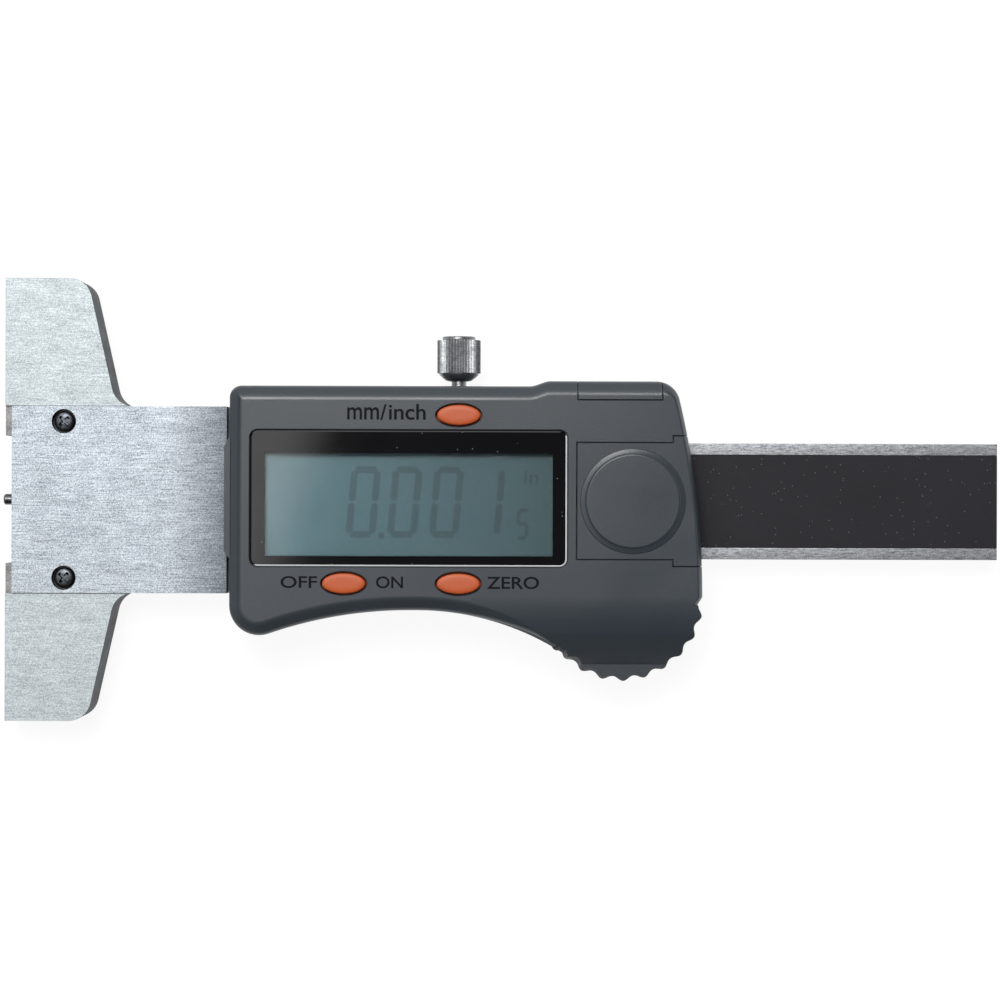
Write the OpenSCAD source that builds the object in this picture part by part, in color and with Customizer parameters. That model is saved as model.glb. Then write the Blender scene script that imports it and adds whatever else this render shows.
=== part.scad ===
// Digital depth gauge, lying on its back with the display up.
// X runs along the beam, away from the work. The measuring faces lie in X = 0.
// Y runs across it, Z out of the display. Y = Z = 0 is the axis of the probe.

/* [Measuring base] */
// Length of the base across the work
base_l = 60; // [54:1:80]
// Thickness of the base
base_t = 7.6; // [6.8:0.1:9]
// Width of a wing at its tip
wing_tip_w = 11.1; // [9:0.1:14]
// Width of a wing where it meets the neck
wing_root_w = 15; // [13.5:0.1:18]
// Length of the straight neck behind the hollows
neck_land = 0.6; // [0.1:0.1:4]
// Radius of the wings' outer corners
wing_corner_r = 3; // [1:0.1:4]
// Radius of the hollow between wing and neck
neck_fillet_r = 3; // [1:0.1:4]
// Width of the notch in the measuring face
notch_w = 17.3; // [8:0.1:20]
// Depth of the notch in the measuring face
notch_depth = 0.95; // [0.4:0.05:2]

/* [Probe and beam] */
// Diameter of the probe
pin_d = 1.5; // [1:0.1:1.8]
// How far the probe stands past the measuring faces at rest
pin_rest = 0.8; // [0:0.1:1.5]
// Travel of the probe outwards from rest
travel_out = 25.2; // [15:0.1:25.5]
// Travel of the probe inwards from rest
travel_in = 2; // [1:0.1:3]
// Depth of the probe's seat in the beam
pin_seat = 8; // [5:0.5:11]
// Length of the beam
beam_l = 90.8; // [80:0.1:110]
// Width of the beam
beam_w = 15.8; // [14:0.1:17]
// Thickness of the beam
beam_t = 3.5; // [3.3:0.1:3.9]
// Width of the scale in its groove
scale_w = 12.6; // [10:0.1:13.5]
// Thickness of the scale's circuit strip
scale_t = 0.6; // [0.4:0.05:0.7]
// Thickness of the dark sticker over it
sticker_t = 0.1; // [0.05:0.05:0.15]

/* [Slider] */
// Width of the slider's rail on each side of the beam
rail_w = 4.75; // [4.6:0.05:5.2]
// Length of the bright face plate
plate_l = 29.1; // [28:0.1:34]
// How far the face plate stands proud of the wings
plate_proud = 0.4; // [0.1:0.05:0.6]
// Gap between the face plate and the housing
plate_gap = 0.85; // [0.85:0.05:1.2]
// Thickness of the bridge behind the beam's exit
bridge_t = 0.8; // [0.5:0.05:0.9]
// Length of that bridge along the beam
bridge_l = 2.5; // [1.5:0.1:3]
// Distance of the face plate's screws from the measuring faces
base_screw_x = 8; // [6:0.1:9]
// Distance of the face plate's screws from its long edges
base_screw_in = 2.05; // [1.9:0.05:2.4]
// Distance of the screws from the back from the slider's long edges
back_screw_in = 1.75; // [1.6:0.05:1.8]
// Thickness of the gib
gib_t = 1; // [0.6:0.1:1.2]

/* [Housing] */
// Plastic between the housing's left side and the window
window_margin = 2.9; // [2.2:0.05:4]
// Plastic between the upper button and the top edge
top_margin = 2.6; // [2.3:0.05:4]
// How far the top edge steps out over the battery
top_step = 0.7; // [0.3:0.05:1]
// Plastic between the lower buttons and the waist's crest
waist_margin = 2.3; // [2.2:0.05:3]
// How far the lower left foot stands out past the waist's crest
foot_drop = 3.4; // [3:0.05:4.2]
// Plastic between the battery's bay and the right side
end_margin = 3.32; // [3:0.01:5]
// Plastic under the battery's bay
bay_floor_t = 1.6; // [1.2:0.05:2.4]
// Thickness of the housing's walls and roof
wall = 1.6; // [1.4:0.05:1.7]
// Width of the bevel round the face
bevel_w = 1.5; // [0.8:0.05:1.55]
// Height of the bevel round the face
bevel_h = 1.15; // [0.6:0.05:1.3]

/* [Thumb grip] */
// Radius over the tips of the grip's teeth
grip_r = 10.8; // [10.5:0.05:11.1]
// Depth of the teeth
tooth_h = 0.6; // [0.3:0.05:0.8]
// Angle between two teeth
tooth_pitch = 15.5; // [15:0.1:16]
// Number of teeth
teeth = 9; // [7:1:9]
// Radius of the grip's falling face
fall_r = 11.5; // [11:0.1:12.4]

/* [Display] */
// Border of the window past each end of the display glass
border_end = 1.1; // [0.6:0.1:1.6]
// Border of the window above the display glass
border_high = 2.12; // [1:0.01:2.4]
// Border of the window below the display glass
border_low = 0.38; // [0.3:0.01:1]
// Thickness of the window
window_t = 0.8; // [0.5:0.05:0.9]
// How far the window lies below the housing's face
window_sink = 0.15; // [0.05:0.05:0.3]
// Length of the display glass
lcd_l = 40; // [36:0.1:46]
// Width of the display glass
lcd_w = 15.6; // [14.6:0.1:18]
// Thickness of the display glass
lcd_t = 1.8; // [1.4:0.1:2.2]
// Blind edge of the display glass round its clear view
view_edge = 0.8; // [0.5:0.05:1.5]

/* [Buttons] */
// Length of a button
button_l = 5.7; // [5:0.1:6.2]
// Width of a button
button_w = 2.65; // [2.3:0.05:3]
// Plastic between the window and the upper button
gap_high = 0.74; // [0.6:0.01:1.5]
// Plastic between the window and the lower buttons
gap_low = 0.95; // [0.9:0.01:1.5]
// How far a button stands over the face
button_up = 0.45; // [0.42:0.01:0.6]
// Travel of a button
button_travel = 0.4; // [0.2:0.05:0.4]

/* [Battery and port] */
// Diameter of the button cell
battery_d = 11.6; // [10:0.1:12.5]
// Height of the button cell
battery_h = 5.4; // [5:0.1:6.5]
// How far the battery cover reaches past the bay on each side
cover_side = 1.7; // [1.4:0.05:2]
// How much further its end reaches that wraps over the edge
cover_jog = 0.9; // [0.5:0.05:1.1]
// Thickness of the battery cover
cover_t = 1.2; // [1:0.05:1.5]
// How far the round boss on the cover reaches past the bay
boss_side = 1; // [0.4:0.05:1.4]
// Height of the boss
boss_h = 0.45; // [0.2:0.05:0.7]
// Length of the port cover
port_l = 11.2; // [9.5:0.1:12]

/* [Lock screw] */
// Diameter of the lock screw's thread
lock_d = 2; // [1.8:0.1:2.2]
// Diameter of its knurled knob
knob_d = 5.9; // [5:0.1:6.4]
// Height of the knurl
knob_h = 4.5; // [3.5:0.1:6]
// Clear length of neck over the housing
neck_l = 1; // [0.5:0.1:2]

/* [Fits] */
// Running clearance between sliding faces
run = 0.05; // [0.03:0.01:0.06]
// Clearance of a thread or a pressed pin in its bore
thread_gap = 0.02; // [0.01:0.01:0.04]
// Gap round a cover, button or window
part_gap = 0.1; // [0.06:0.01:0.12]

/* [Hidden] */
$fn = 48;
// How far a cutting shape runs past what it cuts
past = 1;

// Small screws that hold the slider, the back plate, the board and the housing
screw_r = 0.8;
bore_r = screw_r + thread_gap;
cross_w = 1.7;
boss_wall = 1;

// Heights, from the back up
rest_z = -base_t / 2;
wing_z = base_t / 2;
beam_z = beam_t / 2;
channel_z = beam_z + run;
plate_z = wing_z + plate_proud;
board_t = 1;
board_z = channel_z + run;
board_top = board_z + board_t;
battery_foot = 0.5;
bay_floor_z = channel_z + bay_floor_t;
battery_z = bay_floor_z + battery_foot;
cover_z = battery_z + battery_h + part_gap;
face_z = cover_z + cover_t;
window_z = face_z - window_sink - window_t;
rebate_z = window_z - run;
roof_z = face_z - wall;
lcd_top = roof_z - run;
lcd_z = lcd_top - lcd_t;
scale_z = beam_z - run - sticker_t;
groove_z = scale_z - scale_t;

// Slider, across the beam
beam_y = beam_w / 2;
rail_y = beam_y + rail_w;
gib_y = beam_y + run;
gib_back = gib_y + gib_t;
gib_side_gap = 0.25;
gib_seat_gap = 0.05;

// Side of a wing: its slope, and the length of its slanted edge for each unit across
wing_slope = (wing_root_w - wing_tip_w) / (base_l / 2 - rail_y);
wing_side = sqrt(1 + wing_slope * wing_slope);
hollow_x = wing_root_w + neck_fillet_r * (wing_side - wing_slope);
base_depth = hollow_x + neck_land;

// Places along the beam
plate_x = notch_depth;
shoulder_drop = 0.4;
plate_end = plate_x + plate_l;
rail_x = base_depth + run;
front_slack = 1.6;
beam_x = base_depth - pin_rest + travel_out + front_slack;
beam_end = beam_x + beam_l;
pin_chamfer = 0.2;
pin_l = pin_rest + beam_x + pin_seat - 0.1;

// Housing and display, from left to right
housing_x = plate_end + plate_gap;
cavity_x = housing_x + wall;
window_l = lcd_l + 2 * border_end;
window_w = lcd_w + border_high + border_low;
window_x = housing_x + window_margin + window_l / 2;
view_l = lcd_l - 2 * view_edge;
view_w = lcd_w - 2 * view_edge - 0.2;
divider_t = 1;
divider_x = window_x + window_l / 2 + 0.63;
bay_x = divider_x + divider_t;
bay_r = battery_d / 2 + 0.25;
contact_room = 1.1;
battery_x = bay_x + contact_room + bay_r;
housing_end = battery_x + bay_r + end_margin;
frame_end = housing_end - 4.2;

// Housing and display, from the window out. The display lies a little below the probe's axis
lcd_y = -0.6;
lcd_low = lcd_y - lcd_w / 2;
lcd_high = lcd_y + lcd_w / 2;
window_y = lcd_y + (border_high - border_low) / 2;
high_button_y = lcd_high + border_high + gap_high + button_w / 2;
low_button_y = lcd_low - border_low - gap_low - button_w / 2;
top_y = high_button_y + button_w / 2 + top_margin;
step_y = top_y + top_step;
waist_y = button_w / 2 - low_button_y + waist_margin;
foot_y = waist_y + foot_drop;
cavity_low = wall - waist_y;
cavity_high = top_y - wall;

// Buttons: places, flange under the roof, stem to the snap dome
button_at = [[window_x + 6.65, high_button_y], [window_x - 8.6, low_button_y],
             [window_x + 6.65, low_button_y]];
button_crown = 0.25;
button_round = 0.2;
flange_t = 0.75;
flange_l = 0.6;
flange_w = 0.5;
stem_r = 0.9;
dome_h = 0.45;
dome_r = 1.5;
stem_z = board_top + dome_h + button_travel + run;

// Screws through the slider
base_screw_y = rail_y - base_screw_in;
base_screw_low = -1.4;
base_head_r = 1.35;
base_head_t = 0.7;
base_head_sink = 0.2;
base_head_step = 0.2;
counterbore_r = 1.65;
counterbore_z = plate_z - base_head_t - base_head_step - base_head_sink;
back_screw_y = rail_y - back_screw_in;
back_screw_x = [cavity_x + 3, divider_x - 5.6];
back_head_r = 1.5;
back_head_h = 0.9;
back_head_sink = 0.05;
back_screw_top = board_z + 2.9;
board_screw_at = [[window_x - 13.9, back_screw_y], [window_x + 11.6, -back_screw_y]];
board_screw_low = 2;
board_head_r = 1.3;
board_head_h = 0.8;

// Gib and its set screws, and the lock screw that presses on it
gib_screw_r = 1;
gib_screw_l = 3;
gib_screw_x = [back_screw_x[0] + 15, back_screw_x[1] + 2.47];
gib_x = gib_screw_x[0] - 5;
gib_end = gib_screw_x[1] + 10;
slot_w = 0.3;
slot_h = 0.5;
lock_x = window_x + 6.5;
lock_back = 0.25;
pad_t = 0.4;
pad_y = gib_back + lock_back;
knob_y = top_y + neck_l;
knob_bowl = 1.1;
bowl_rim = 0.3;
knob_step = 0.5;
knob_inset = 0.7;
flutes = 24;
flute_r = 0.25;
flute_out = 0.08;

// Screw that stops the beam, and the slot in which its head runs
stop_x = beam_x + pin_seat + 6;
stop_head_r = 1.6;
stop_head_h = 0.85;
stop_head_gap = 0.15;
stop_slack = 0.25;
stop_thread = 1.5;

// Board, with the tongue that carries the port's pads
board_x = cavity_x + 0.3;
board_end = divider_x - 0.25;
board_low = cavity_low + 0.47;
board_high = cavity_high - 0.4;
tongue_low = bay_r + cover_side + cover_jog + 0.75;
tongue_end = housing_end - 5.6;
bridge_y = tongue_low - 0.2;

// Frame that carries the display over the board
holder_wall = 1;
holder_l = lcd_l + 0.7;
holder_low = lcd_low - 0.5;
holder_high = lcd_high + 0.6;
zebra_w = 1.6;
chip_r = 3.6;
chip_h = 0.6;

// Spring contacts of the battery
leaf_t = 0.2;
leaf_x = battery_x - battery_d / 2 - 0.35;
plus_y = 1.5;
minus_low = -4.5;
minus_high = -2;
contact_gap = 0.2;

// Battery cover: its width, its tongues under the roof and the flap at its end
cover_x = bay_x - 0.3;
cover_y = bay_r + cover_side;
cover_end_y = cover_y + cover_jog;
jog_x = housing_end - 4;
tongue_w = 0.6;
tongue_t = 0.55;
flap_inset = 1.2;
flap_z = cover_z - 3.4;
boss_r = bay_r + boss_side;
boss_fall = 0.9;

// Port on the top edge, with its cover
port_x = housing_end - 16.7;
port_y = step_y - 2.5;
port_wall_y = step_y - 1.35;
port_mid = port_x + port_l / 2;
port_slot_w = port_l - 2.6;
port_slot_h = 3.4;
port_seat_z = 1.4;
lug_l = 1.1;
pad_pitch = 2;
pad_w = 1.2;
pad_l = 2;

// Housing outline: corners, hollows, steps and the long side's arc
corner_r = 1.6;
foot_r = 4;
foot_at = [housing_x + foot_r, foot_r - foot_y];
waist_x = window_x + 0.2;
waist_flat = 1;
root_r = grip_r - tooth_h;
grip_at = [housing_end - grip_r, 1.28 - waist_y];
first_tooth = -10.6;
heel_a = first_tooth - tooth_pitch * (teeth - 1) - 11;
heel_r = 0.8;
fall_y = grip_at[1] - 0.12;
ledge_z = channel_z + 5;
bulge = plate_gap - 0.15;
side_r = 114;
side_at = [housing_end - side_r, grip_at[1] + 0.58];
step_x = divider_x - 4.23;
step_l = 2.8;
end_r = 3.2;
end_y = step_y - end_r;
end_x = side_at[0] + sqrt(pow(side_r - end_r, 2) - pow(end_y - side_at[1], 2));
end_a = atan2(end_y - side_at[1], end_x - side_at[0]);

// Points on an arc about c, from angle a0 to a1
function arc(c, r, a0, a1, n, first = 0) =
    [for (i = [first:n]) let (a = a0 + (a1 - a0) * i / n) c + r * [cos(a), sin(a)]];

// Radius of a hollow that touches a corner circle of radius r, whose centre lies dx
// along and e above the hollow's crest
function hollow_r(dx, e, r) = (dx * dx + e * e - r * r) / (2 * (r - e));

left_e = foot_at[1] + waist_y;
left_dx = waist_x - foot_at[0];
left_r = hollow_r(left_dx, left_e, foot_r);
left_a = atan2(left_r + left_e, -left_dx);
right_e = grip_at[1] + waist_y;
right_dx = grip_at[0] - waist_x - waist_flat;
right_r = hollow_r(right_dx, right_e, root_r);
right_a = atan2(right_r + right_e, right_dx);

// The housing's outline, counter-clockwise, moved inwards by d
function outline(d) =
    let (r = max(corner_r - d, 0.2), c = [housing_x + d + r, top_y - d - r])
    concat(
        arc(c, r, 90, 180, 6),
        arc(foot_at, foot_r - d, 180, left_a + 180, 10),
        arc([waist_x, -waist_y - left_r], left_r + d, left_a, 90, 10, 1),
        arc([waist_x + waist_flat, -waist_y - right_r], right_r + d, 90, right_a, 12),
        arc(grip_at, root_r - d, right_a + 180, 358, 16, 1),
        arc(side_at, side_r - d, 0, end_a, 8),
        arc([end_x, end_y], end_r - d, end_a, 90, 8, 1),
        [[step_x + step_l / 2, step_y - d], [step_x - step_l / 2, top_y - d]]);

// A solid through the outline at each [inset, height], from the lowest up
module loft(levels) {
    rings = [for (level = levels) outline(level[0])];
    n = len(rings[0]);
    last = len(levels) - 1;
    points = [for (i = [0:last]) for (p = rings[i]) [p[0], p[1], levels[i][1]]];
    sides = [for (i = [0:last - 1]) for (j = [0:n - 1])
        [i * n + j, (i + 1) * n + j, (i + 1) * n + (j + 1) % n, i * n + (j + 1) % n]];
    bottom = [for (j = [0:n - 1]) j];
    top = [for (j = [n - 1:-1:0]) last * n + j];
    polyhedron(points, concat([bottom, top], sides));
}

// A flat shape of the outline moved inwards by d, between two heights
module outline_slab(d, z0, z1) {
    translate([0, 0, z0]) linear_extrude(z1 - z0) polygon(outline(d));
}

// A box between two corners
module block(a, b) {
    translate(a) cube(b - a);
}

// A box of half width y about the probe's plane, between two lengths and two heights
module bar(x0, x1, y, z0, z1) {
    block([x0, -y, z0], [x1, y, z1]);
}

// A cylinder along X, Y or Z from a point
module rod_x(at, r, l) {
    translate(at) rotate([0, 90, 0]) cylinder(r = r, h = l);
}
module rod_y(at, r, l) {
    translate(at) rotate([-90, 0, 0]) cylinder(r = r, h = l);
}
module rod_z(at, r, l) {
    translate(at) cylinder(r = r, h = l);
}

// The children at each of the four screws from the back, at height z
module at_back_screws(z) {
    for (x = back_screw_x, y = [-1, 1]) translate([x, y * back_screw_y, z]) children();
}

// The children at each of the face plate's two screws
module at_base_screws() {
    for (y = [-1, 1]) translate([base_screw_x, y * base_screw_y, 0]) children();
}

// A flat rectangle with round corners, about its centre
module round_rect(l, w, r) {
    square([l - 2 * r, w], center = true);
    square([l, w - 2 * r], center = true);
    for (x = [-1, 1], y = [-1, 1]) translate([x * (l / 2 - r), y * (w / 2 - r)]) circle(r = r);
}

// A flat oval with half axes a and b
module oval(a, b) {
    polygon([for (i = [0:35]) [a * cos(i * 10), b * sin(i * 10)]]);
}

// A cross recess in a screw head at height z, sunk down
module cross_recess(z, size) {
    for (a = [0, 90]) rotate(a)
        translate([-size / 2, -size / 8, z - size / 3]) cube([size, size / 4, size]);
}

// ---- Measuring base ----

// The base's edge on the positive side, from the neck's end to the measuring face
function base_side() =
    let (side_a = atan(wing_slope),
         tip_x = wing_tip_w + wing_corner_r * (wing_slope - wing_side),
         tip_y = base_l / 2 - wing_corner_r)
    concat(
        [[base_depth, rail_y]],
        arc([hollow_x, rail_y + neck_fillet_r], neck_fillet_r, 270, 180 + side_a, 8),
        arc([tip_x, tip_y], wing_corner_r, side_a, 90, 8),
        [[0, base_l / 2]]);

module base() {
    side = base_side();
    color([0.82, 0.85, 0.86]) difference() {
        translate([0, 0, rest_z]) linear_extrude(base_t)
            polygon(concat(side, [for (i = [len(side) - 1:-1:0]) [side[i][0], -side[i][1]]]));
        // Pocket for the face plate, with a low shoulder in front of the plate's end
        bar(notch_depth - run, base_depth + past, rail_y + run, channel_z, wing_z + past);
        bar(-past, notch_depth, rail_y + run, wing_z - shoulder_drop, wing_z + past);
        // Notch in the measuring face
        bar(-past, notch_depth, notch_w / 2, rest_z - past, wing_z + past);
        rod_x([-past, 0, 0], pin_d / 2 + run, base_depth + 2 * past);
        at_base_screws() rod_z([0, 0, base_screw_low - 0.2], bore_r, base_t);
    }
}

module base_screws() {
    color([0.16, 0.16, 0.17]) at_base_screws() difference() {
        union() {
            rod_z([0, 0, counterbore_z], base_head_r, base_head_t);
            rod_z([0, 0, counterbore_z], base_head_r - base_head_step, base_head_t + base_head_step);
            rod_z([0, 0, base_screw_low], screw_r, counterbore_z + base_head_t - base_screw_low);
        }
        cross_recess(plate_z - base_head_sink, cross_w);
    }
}

// ---- Slider ----

module slider_frame() {
    color([0.8, 0.83, 0.86]) difference() {
        union() {
            bar(plate_x, plate_end, rail_y, channel_z, plate_z);
            bar(rail_x, frame_end, rail_y, -channel_z, channel_z);
            bar(frame_end - bridge_l, frame_end, bridge_y, 0, channel_z + bridge_t);
        }
        // Channel for the beam, which the gib's side leaves wider
        block([rail_x - past, -gib_y, -channel_z - past],
              [frame_end + past, gib_y + gib_side_gap, channel_z]);
        block([gib_x - part_gap, 0, -channel_z - past],
              [gib_end + part_gap, gib_back + gib_seat_gap, channel_z]);
        at_base_screws() {
            rod_z([0, 0, counterbore_z], counterbore_r, base_t);
            rod_z([0, 0, 0], bore_r, plate_z);
        }
        at_back_screws(rest_z) rod_z([0, 0, 0], bore_r, base_t);
        for (x = gib_screw_x) rod_y([x, gib_back - past, 0], gib_screw_r + thread_gap, rail_y);
        rod_y([lock_x, gib_back - past, 0], lock_d / 2 + thread_gap, rail_y);
        for (p = board_screw_at) rod_z([p[0], p[1], -base_t], bore_r, 2 * base_t);
    }
}

module back_plate() {
    slot_z = -channel_z - stop_head_h - stop_head_gap;
    slot_r = stop_head_r + run;
    slot_x = [stop_x - travel_out - stop_slack, stop_x + travel_in + stop_slack];
    color([0.74, 0.76, 0.78]) difference() {
        bar(rail_x, frame_end, rail_y, rest_z, -channel_z);
        // Slot in which the stop screw's head runs
        for (x = slot_x) rod_z([x, 0, slot_z], slot_r, base_t);
        bar(slot_x[0], slot_x[1], slot_r, slot_z, 0);
        at_back_screws(rest_z) {
            rod_z([0, 0, -past], bore_r, base_t);
            translate([0, 0, -0.01])
                cylinder(r1 = back_head_r + thread_gap, r2 = bore_r, h = back_head_h);
        }
    }
}

module back_screws() {
    color([0.62, 0.64, 0.66]) at_back_screws(rest_z) difference() {
        union() {
            translate([0, 0, back_head_sink])
                cylinder(r1 = back_head_r - 0.08, r2 = screw_r, h = back_head_h - back_head_sink);
            rod_z([0, 0, back_head_sink], screw_r, back_screw_top - rest_z);
        }
        mirror([0, 0, 1]) cross_recess(-back_head_sink, cross_w);
    }
}

module gib() {
    color([0.72, 0.55, 0.3])
        block([gib_x, gib_y, -beam_z], [gib_end, gib_back, beam_z]);
}

module gib_screws() {
    slot_y = gib_back + gib_screw_l - slot_h;
    color([0.3, 0.3, 0.32]) for (x = gib_screw_x) difference() {
        rod_y([x, gib_back, 0], gib_screw_r, gib_screw_l);
        block([x - gib_screw_r - past, slot_y, -slot_w / 2],
              [x + gib_screw_r + past, slot_y + slot_h + past, slot_w / 2]);
    }
}

// ---- Beam and probe ----

module beam() {
    color([0.74, 0.76, 0.79]) difference() {
        bar(beam_x, beam_end, beam_y, -beam_z, beam_z);
        bar(beam_x - past, beam_end + past, scale_w / 2 + thread_gap, groove_z, beam_z + past);
        rod_x([beam_x - past, 0, 0], pin_d / 2 + thread_gap, pin_seat + past);
        rod_z([stop_x, 0, -beam_z - past], bore_r, past + stop_thread + 0.2);
    }
}

module scale_board() {
    color([0.7, 0.55, 0.25]) bar(beam_x, beam_end, scale_w / 2, groove_z, scale_z);
}

module scale_sticker() {
    color([0.19, 0.18, 0.2]) bar(beam_x, beam_end, scale_w / 2, scale_z, scale_z + sticker_t);
}

module probe_pin() {
    color([0.7, 0.72, 0.74]) {
        rod_x([pin_chamfer - pin_rest, 0, 0], pin_d / 2, pin_l - pin_chamfer);
        translate([-pin_rest, 0, 0]) rotate([0, 90, 0])
            cylinder(r1 = pin_d / 2 - pin_chamfer, r2 = pin_d / 2, h = pin_chamfer);
    }
}

module stop_screw() {
    head_z = -channel_z - stop_head_h;
    color([0.45, 0.46, 0.48]) difference() {
        union() {
            rod_z([stop_x, 0, head_z], stop_head_r, stop_head_h + run);
            rod_z([stop_x, 0, -channel_z], screw_r, run + stop_thread);
        }
        bar(stop_x - stop_head_r - past, stop_x + stop_head_r + past, slot_w / 2,
            head_z - past, head_z + slot_h);
    }
}

// ---- Housing ----

// The outer form of the housing, solid, with the bevel round its face
module housing_form() {
    loft([[0, -channel_z], [0, face_z - bevel_h], [bevel_w - 0.25, face_z - 0.12], [bevel_w, face_z]]);
}

// The scalloped lobe of the thumb grip
module grip_lobe() {
    half = tooth_pitch / 2;
    depth = grip_r * cos(half) - root_r;
    chord = grip_r * sin(half);
    scallop_r = (chord * chord + depth * depth) / (2 * depth);
    // A last, shallow tooth stands alone where the hollow waist begins
    translate([grip_at[0], grip_at[1], -channel_z]) linear_extrude(ledge_z + channel_z) rotate(heel_a)
        translate([grip_r + 0.35 - heel_r, 0]) circle(r = heel_r, $fn = 24);
    translate([grip_at[0], grip_at[1], -channel_z]) linear_extrude(face_z + channel_z) difference() {
        circle(r = grip_r, $fn = 96);
        for (k = [-1:teeth - 1]) rotate(first_tooth - tooth_pitch * (k + 0.5))
            translate([root_r + scallop_r, 0]) circle(r = scallop_r, $fn = 24);
        translate([-2 * grip_r, fall_y - grip_at[1]]) square([4 * grip_r, 2 * grip_r]);
        rotate(first_tooth - tooth_pitch * (teeth - 0.5) - 90)
            translate([0, -2 * grip_r]) square([grip_r / 3, 4 * grip_r]);
    }
}

// What the falling face takes off the grip
module grip_fall() {
    difference() {
        block([step_x - 3, -foot_y - grip_r, ledge_z], [housing_end + past, fall_y, face_z + past]);
        rod_x([step_x - 4, fall_y, face_z - fall_r], fall_r, housing_end);
    }
}

// Slots from below that core out the grip
module grip_cores() {
    slot = 2.4;
    web = 1.2;
    for (k = [-2:2]) let (x = grip_at[0] + k * (slot + web)) intersection() {
        block([x - slot / 2, fall_y - grip_r, -channel_z - past],
              [x + slot / 2, fall_y - web / 2, ledge_z - wall - 0.2]);
        rod_z([grip_at[0], grip_at[1], -channel_z - 2 * past], root_r - wall, face_z);
    }
}

// The opening in the roof that the battery cover closes, with its grooves
module cover_opening(gap) {
    low = cover_z - gap / 2;
    end = housing_end + past;
    bar(cover_x - gap, end, cover_y + gap, low, face_z + past);
    bar(jog_x - gap, end, cover_end_y + gap, low, face_z + past);
    bar(cover_x - gap, end, cover_y + tongue_w + gap, low, cover_z + tongue_t + gap / 2);
}

// The bay of the battery, with the ways for its two contacts
module battery_bay() {
    way = divider_x - past;
    rod_z([battery_x, 0, bay_floor_z], bay_r, face_z);
    bar(way, bay_x + contact_room + 0.3, plus_y + 0.3, board_top - 0.1, cover_z);
    block([way, minus_low - 0.3, board_top - 0.1],
          [bay_x + contact_gap, minus_high + 0.4, bay_floor_z + 2 * leaf_t]);
    block([way, minus_low - 0.3, bay_floor_z],
          [battery_x, minus_high + 0.4, bay_floor_z + 2 * leaf_t]);
}

// The seat of the port's cover, and the slot behind it
module port_cut() {
    x0 = port_x - part_gap;
    x1 = port_x + port_l + part_gap;
    out = step_y + past;
    block([x0, port_y - part_gap, rebate_z], [x1, out, face_z + past]);
    block([x0, port_wall_y, port_seat_z], [x1, out, face_z + past]);
    block([port_mid - port_slot_w / 2, port_wall_y - 2, board_z + 0.1],
          [port_mid + port_slot_w / 2, out, board_z + 0.1 + port_slot_h]);
}

module housing() {
    color([0.33, 0.36, 0.39]) difference() {
        union() {
            difference() {
                union() {
                    housing_form();
                    grip_lobe();
                    // Bulge over the end of the face plate
                    translate([0, 0, board_z + part_gap])
                        linear_extrude(face_z - bevel_h - board_z - part_gap)
                        polygon([[housing_x + 1, 8.5], [housing_x, 8.5], [housing_x - bulge, 7.1],
                                 [housing_x - bulge, -6.6], [housing_x, -7.8], [housing_x + 1, -7.8]]);
                }
                grip_fall();
                // Room for the board, the display and the switches
                block([cavity_x, cavity_low, channel_z], [divider_x, cavity_high, roof_z]);
                // Room for the board's tongue at the port
                block([divider_x - past, bridge_y, channel_z], [tongue_end + 0.4, cavity_high, roof_z]);
            }
            // Bosses for the screws from the back
            at_back_screws(channel_z) rod_z([0, 0, 0], bore_r + boss_wall, roof_z - channel_z + 0.1);
        }
        grip_cores();
        // Channel for the slider, and the beam's exit
        bar(housing_x - past, frame_end + part_gap, rail_y + part_gap, -channel_z - past, channel_z);
        bar(housing_x - past, cavity_x + past, rail_y + part_gap, 0, board_z + part_gap);
        bar(frame_end - bridge_l - part_gap, frame_end + part_gap, bridge_y + part_gap,
            0, channel_z + bridge_t + part_gap);
        bar(frame_end, housing_end + past, beam_y + 0.2, -channel_z - past, beam_z + 0.3);
        at_back_screws(0) rod_z([0, 0, 0], bore_r, back_screw_top + 0.5);
        // Window rebate and view
        translate([window_x, window_y, rebate_z]) linear_extrude(base_t)
            round_rect(window_l + 2 * part_gap, window_w + 2 * part_gap, 1 + part_gap);
        translate([window_x, lcd_y, roof_z - past]) linear_extrude(base_t)
            square([view_l + 0.2, view_w + 0.2], center = true);
        for (p = button_at) translate([p[0], p[1], roof_z - past]) linear_extrude(base_t)
            oval(button_l / 2 + part_gap, button_w / 2 + part_gap);
        battery_bay();
        cover_opening(part_gap);
        // Room for the cover's flap
        difference() {
            bar(jog_x + 1, housing_end + past, cover_end_y + part_gap, flap_z - part_gap, face_z);
            outline_slab(flap_inset + part_gap, 0, face_z + past);
        }
        port_cut();
        // Holes for the lock screw and the gib screws
        rod_y([lock_x, rail_y, 0], lock_d / 2 + bowl_rim, rail_y);
        for (x = gib_screw_x) rod_y([x, rail_y, 0], gib_screw_r + bowl_rim, rail_y);
    }
}

// ---- Display ----

module display_window() {
    color([0.09, 0.09, 0.1]) translate([window_x, window_y, window_z])
        linear_extrude(window_t) round_rect(window_l, window_w, 1);
}

module lcd() {
    // The lower glass shows as a ledge that the contact strip presses on
    color([0.38, 0.5, 0.53]) translate([window_x - lcd_l / 2, lcd_low, lcd_z]) {
        cube([lcd_l, lcd_w, lcd_t / 2]);
        translate([0, 1, lcd_t / 2]) cube([lcd_l, lcd_w - 1, lcd_t / 2]);
    }
}

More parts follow.
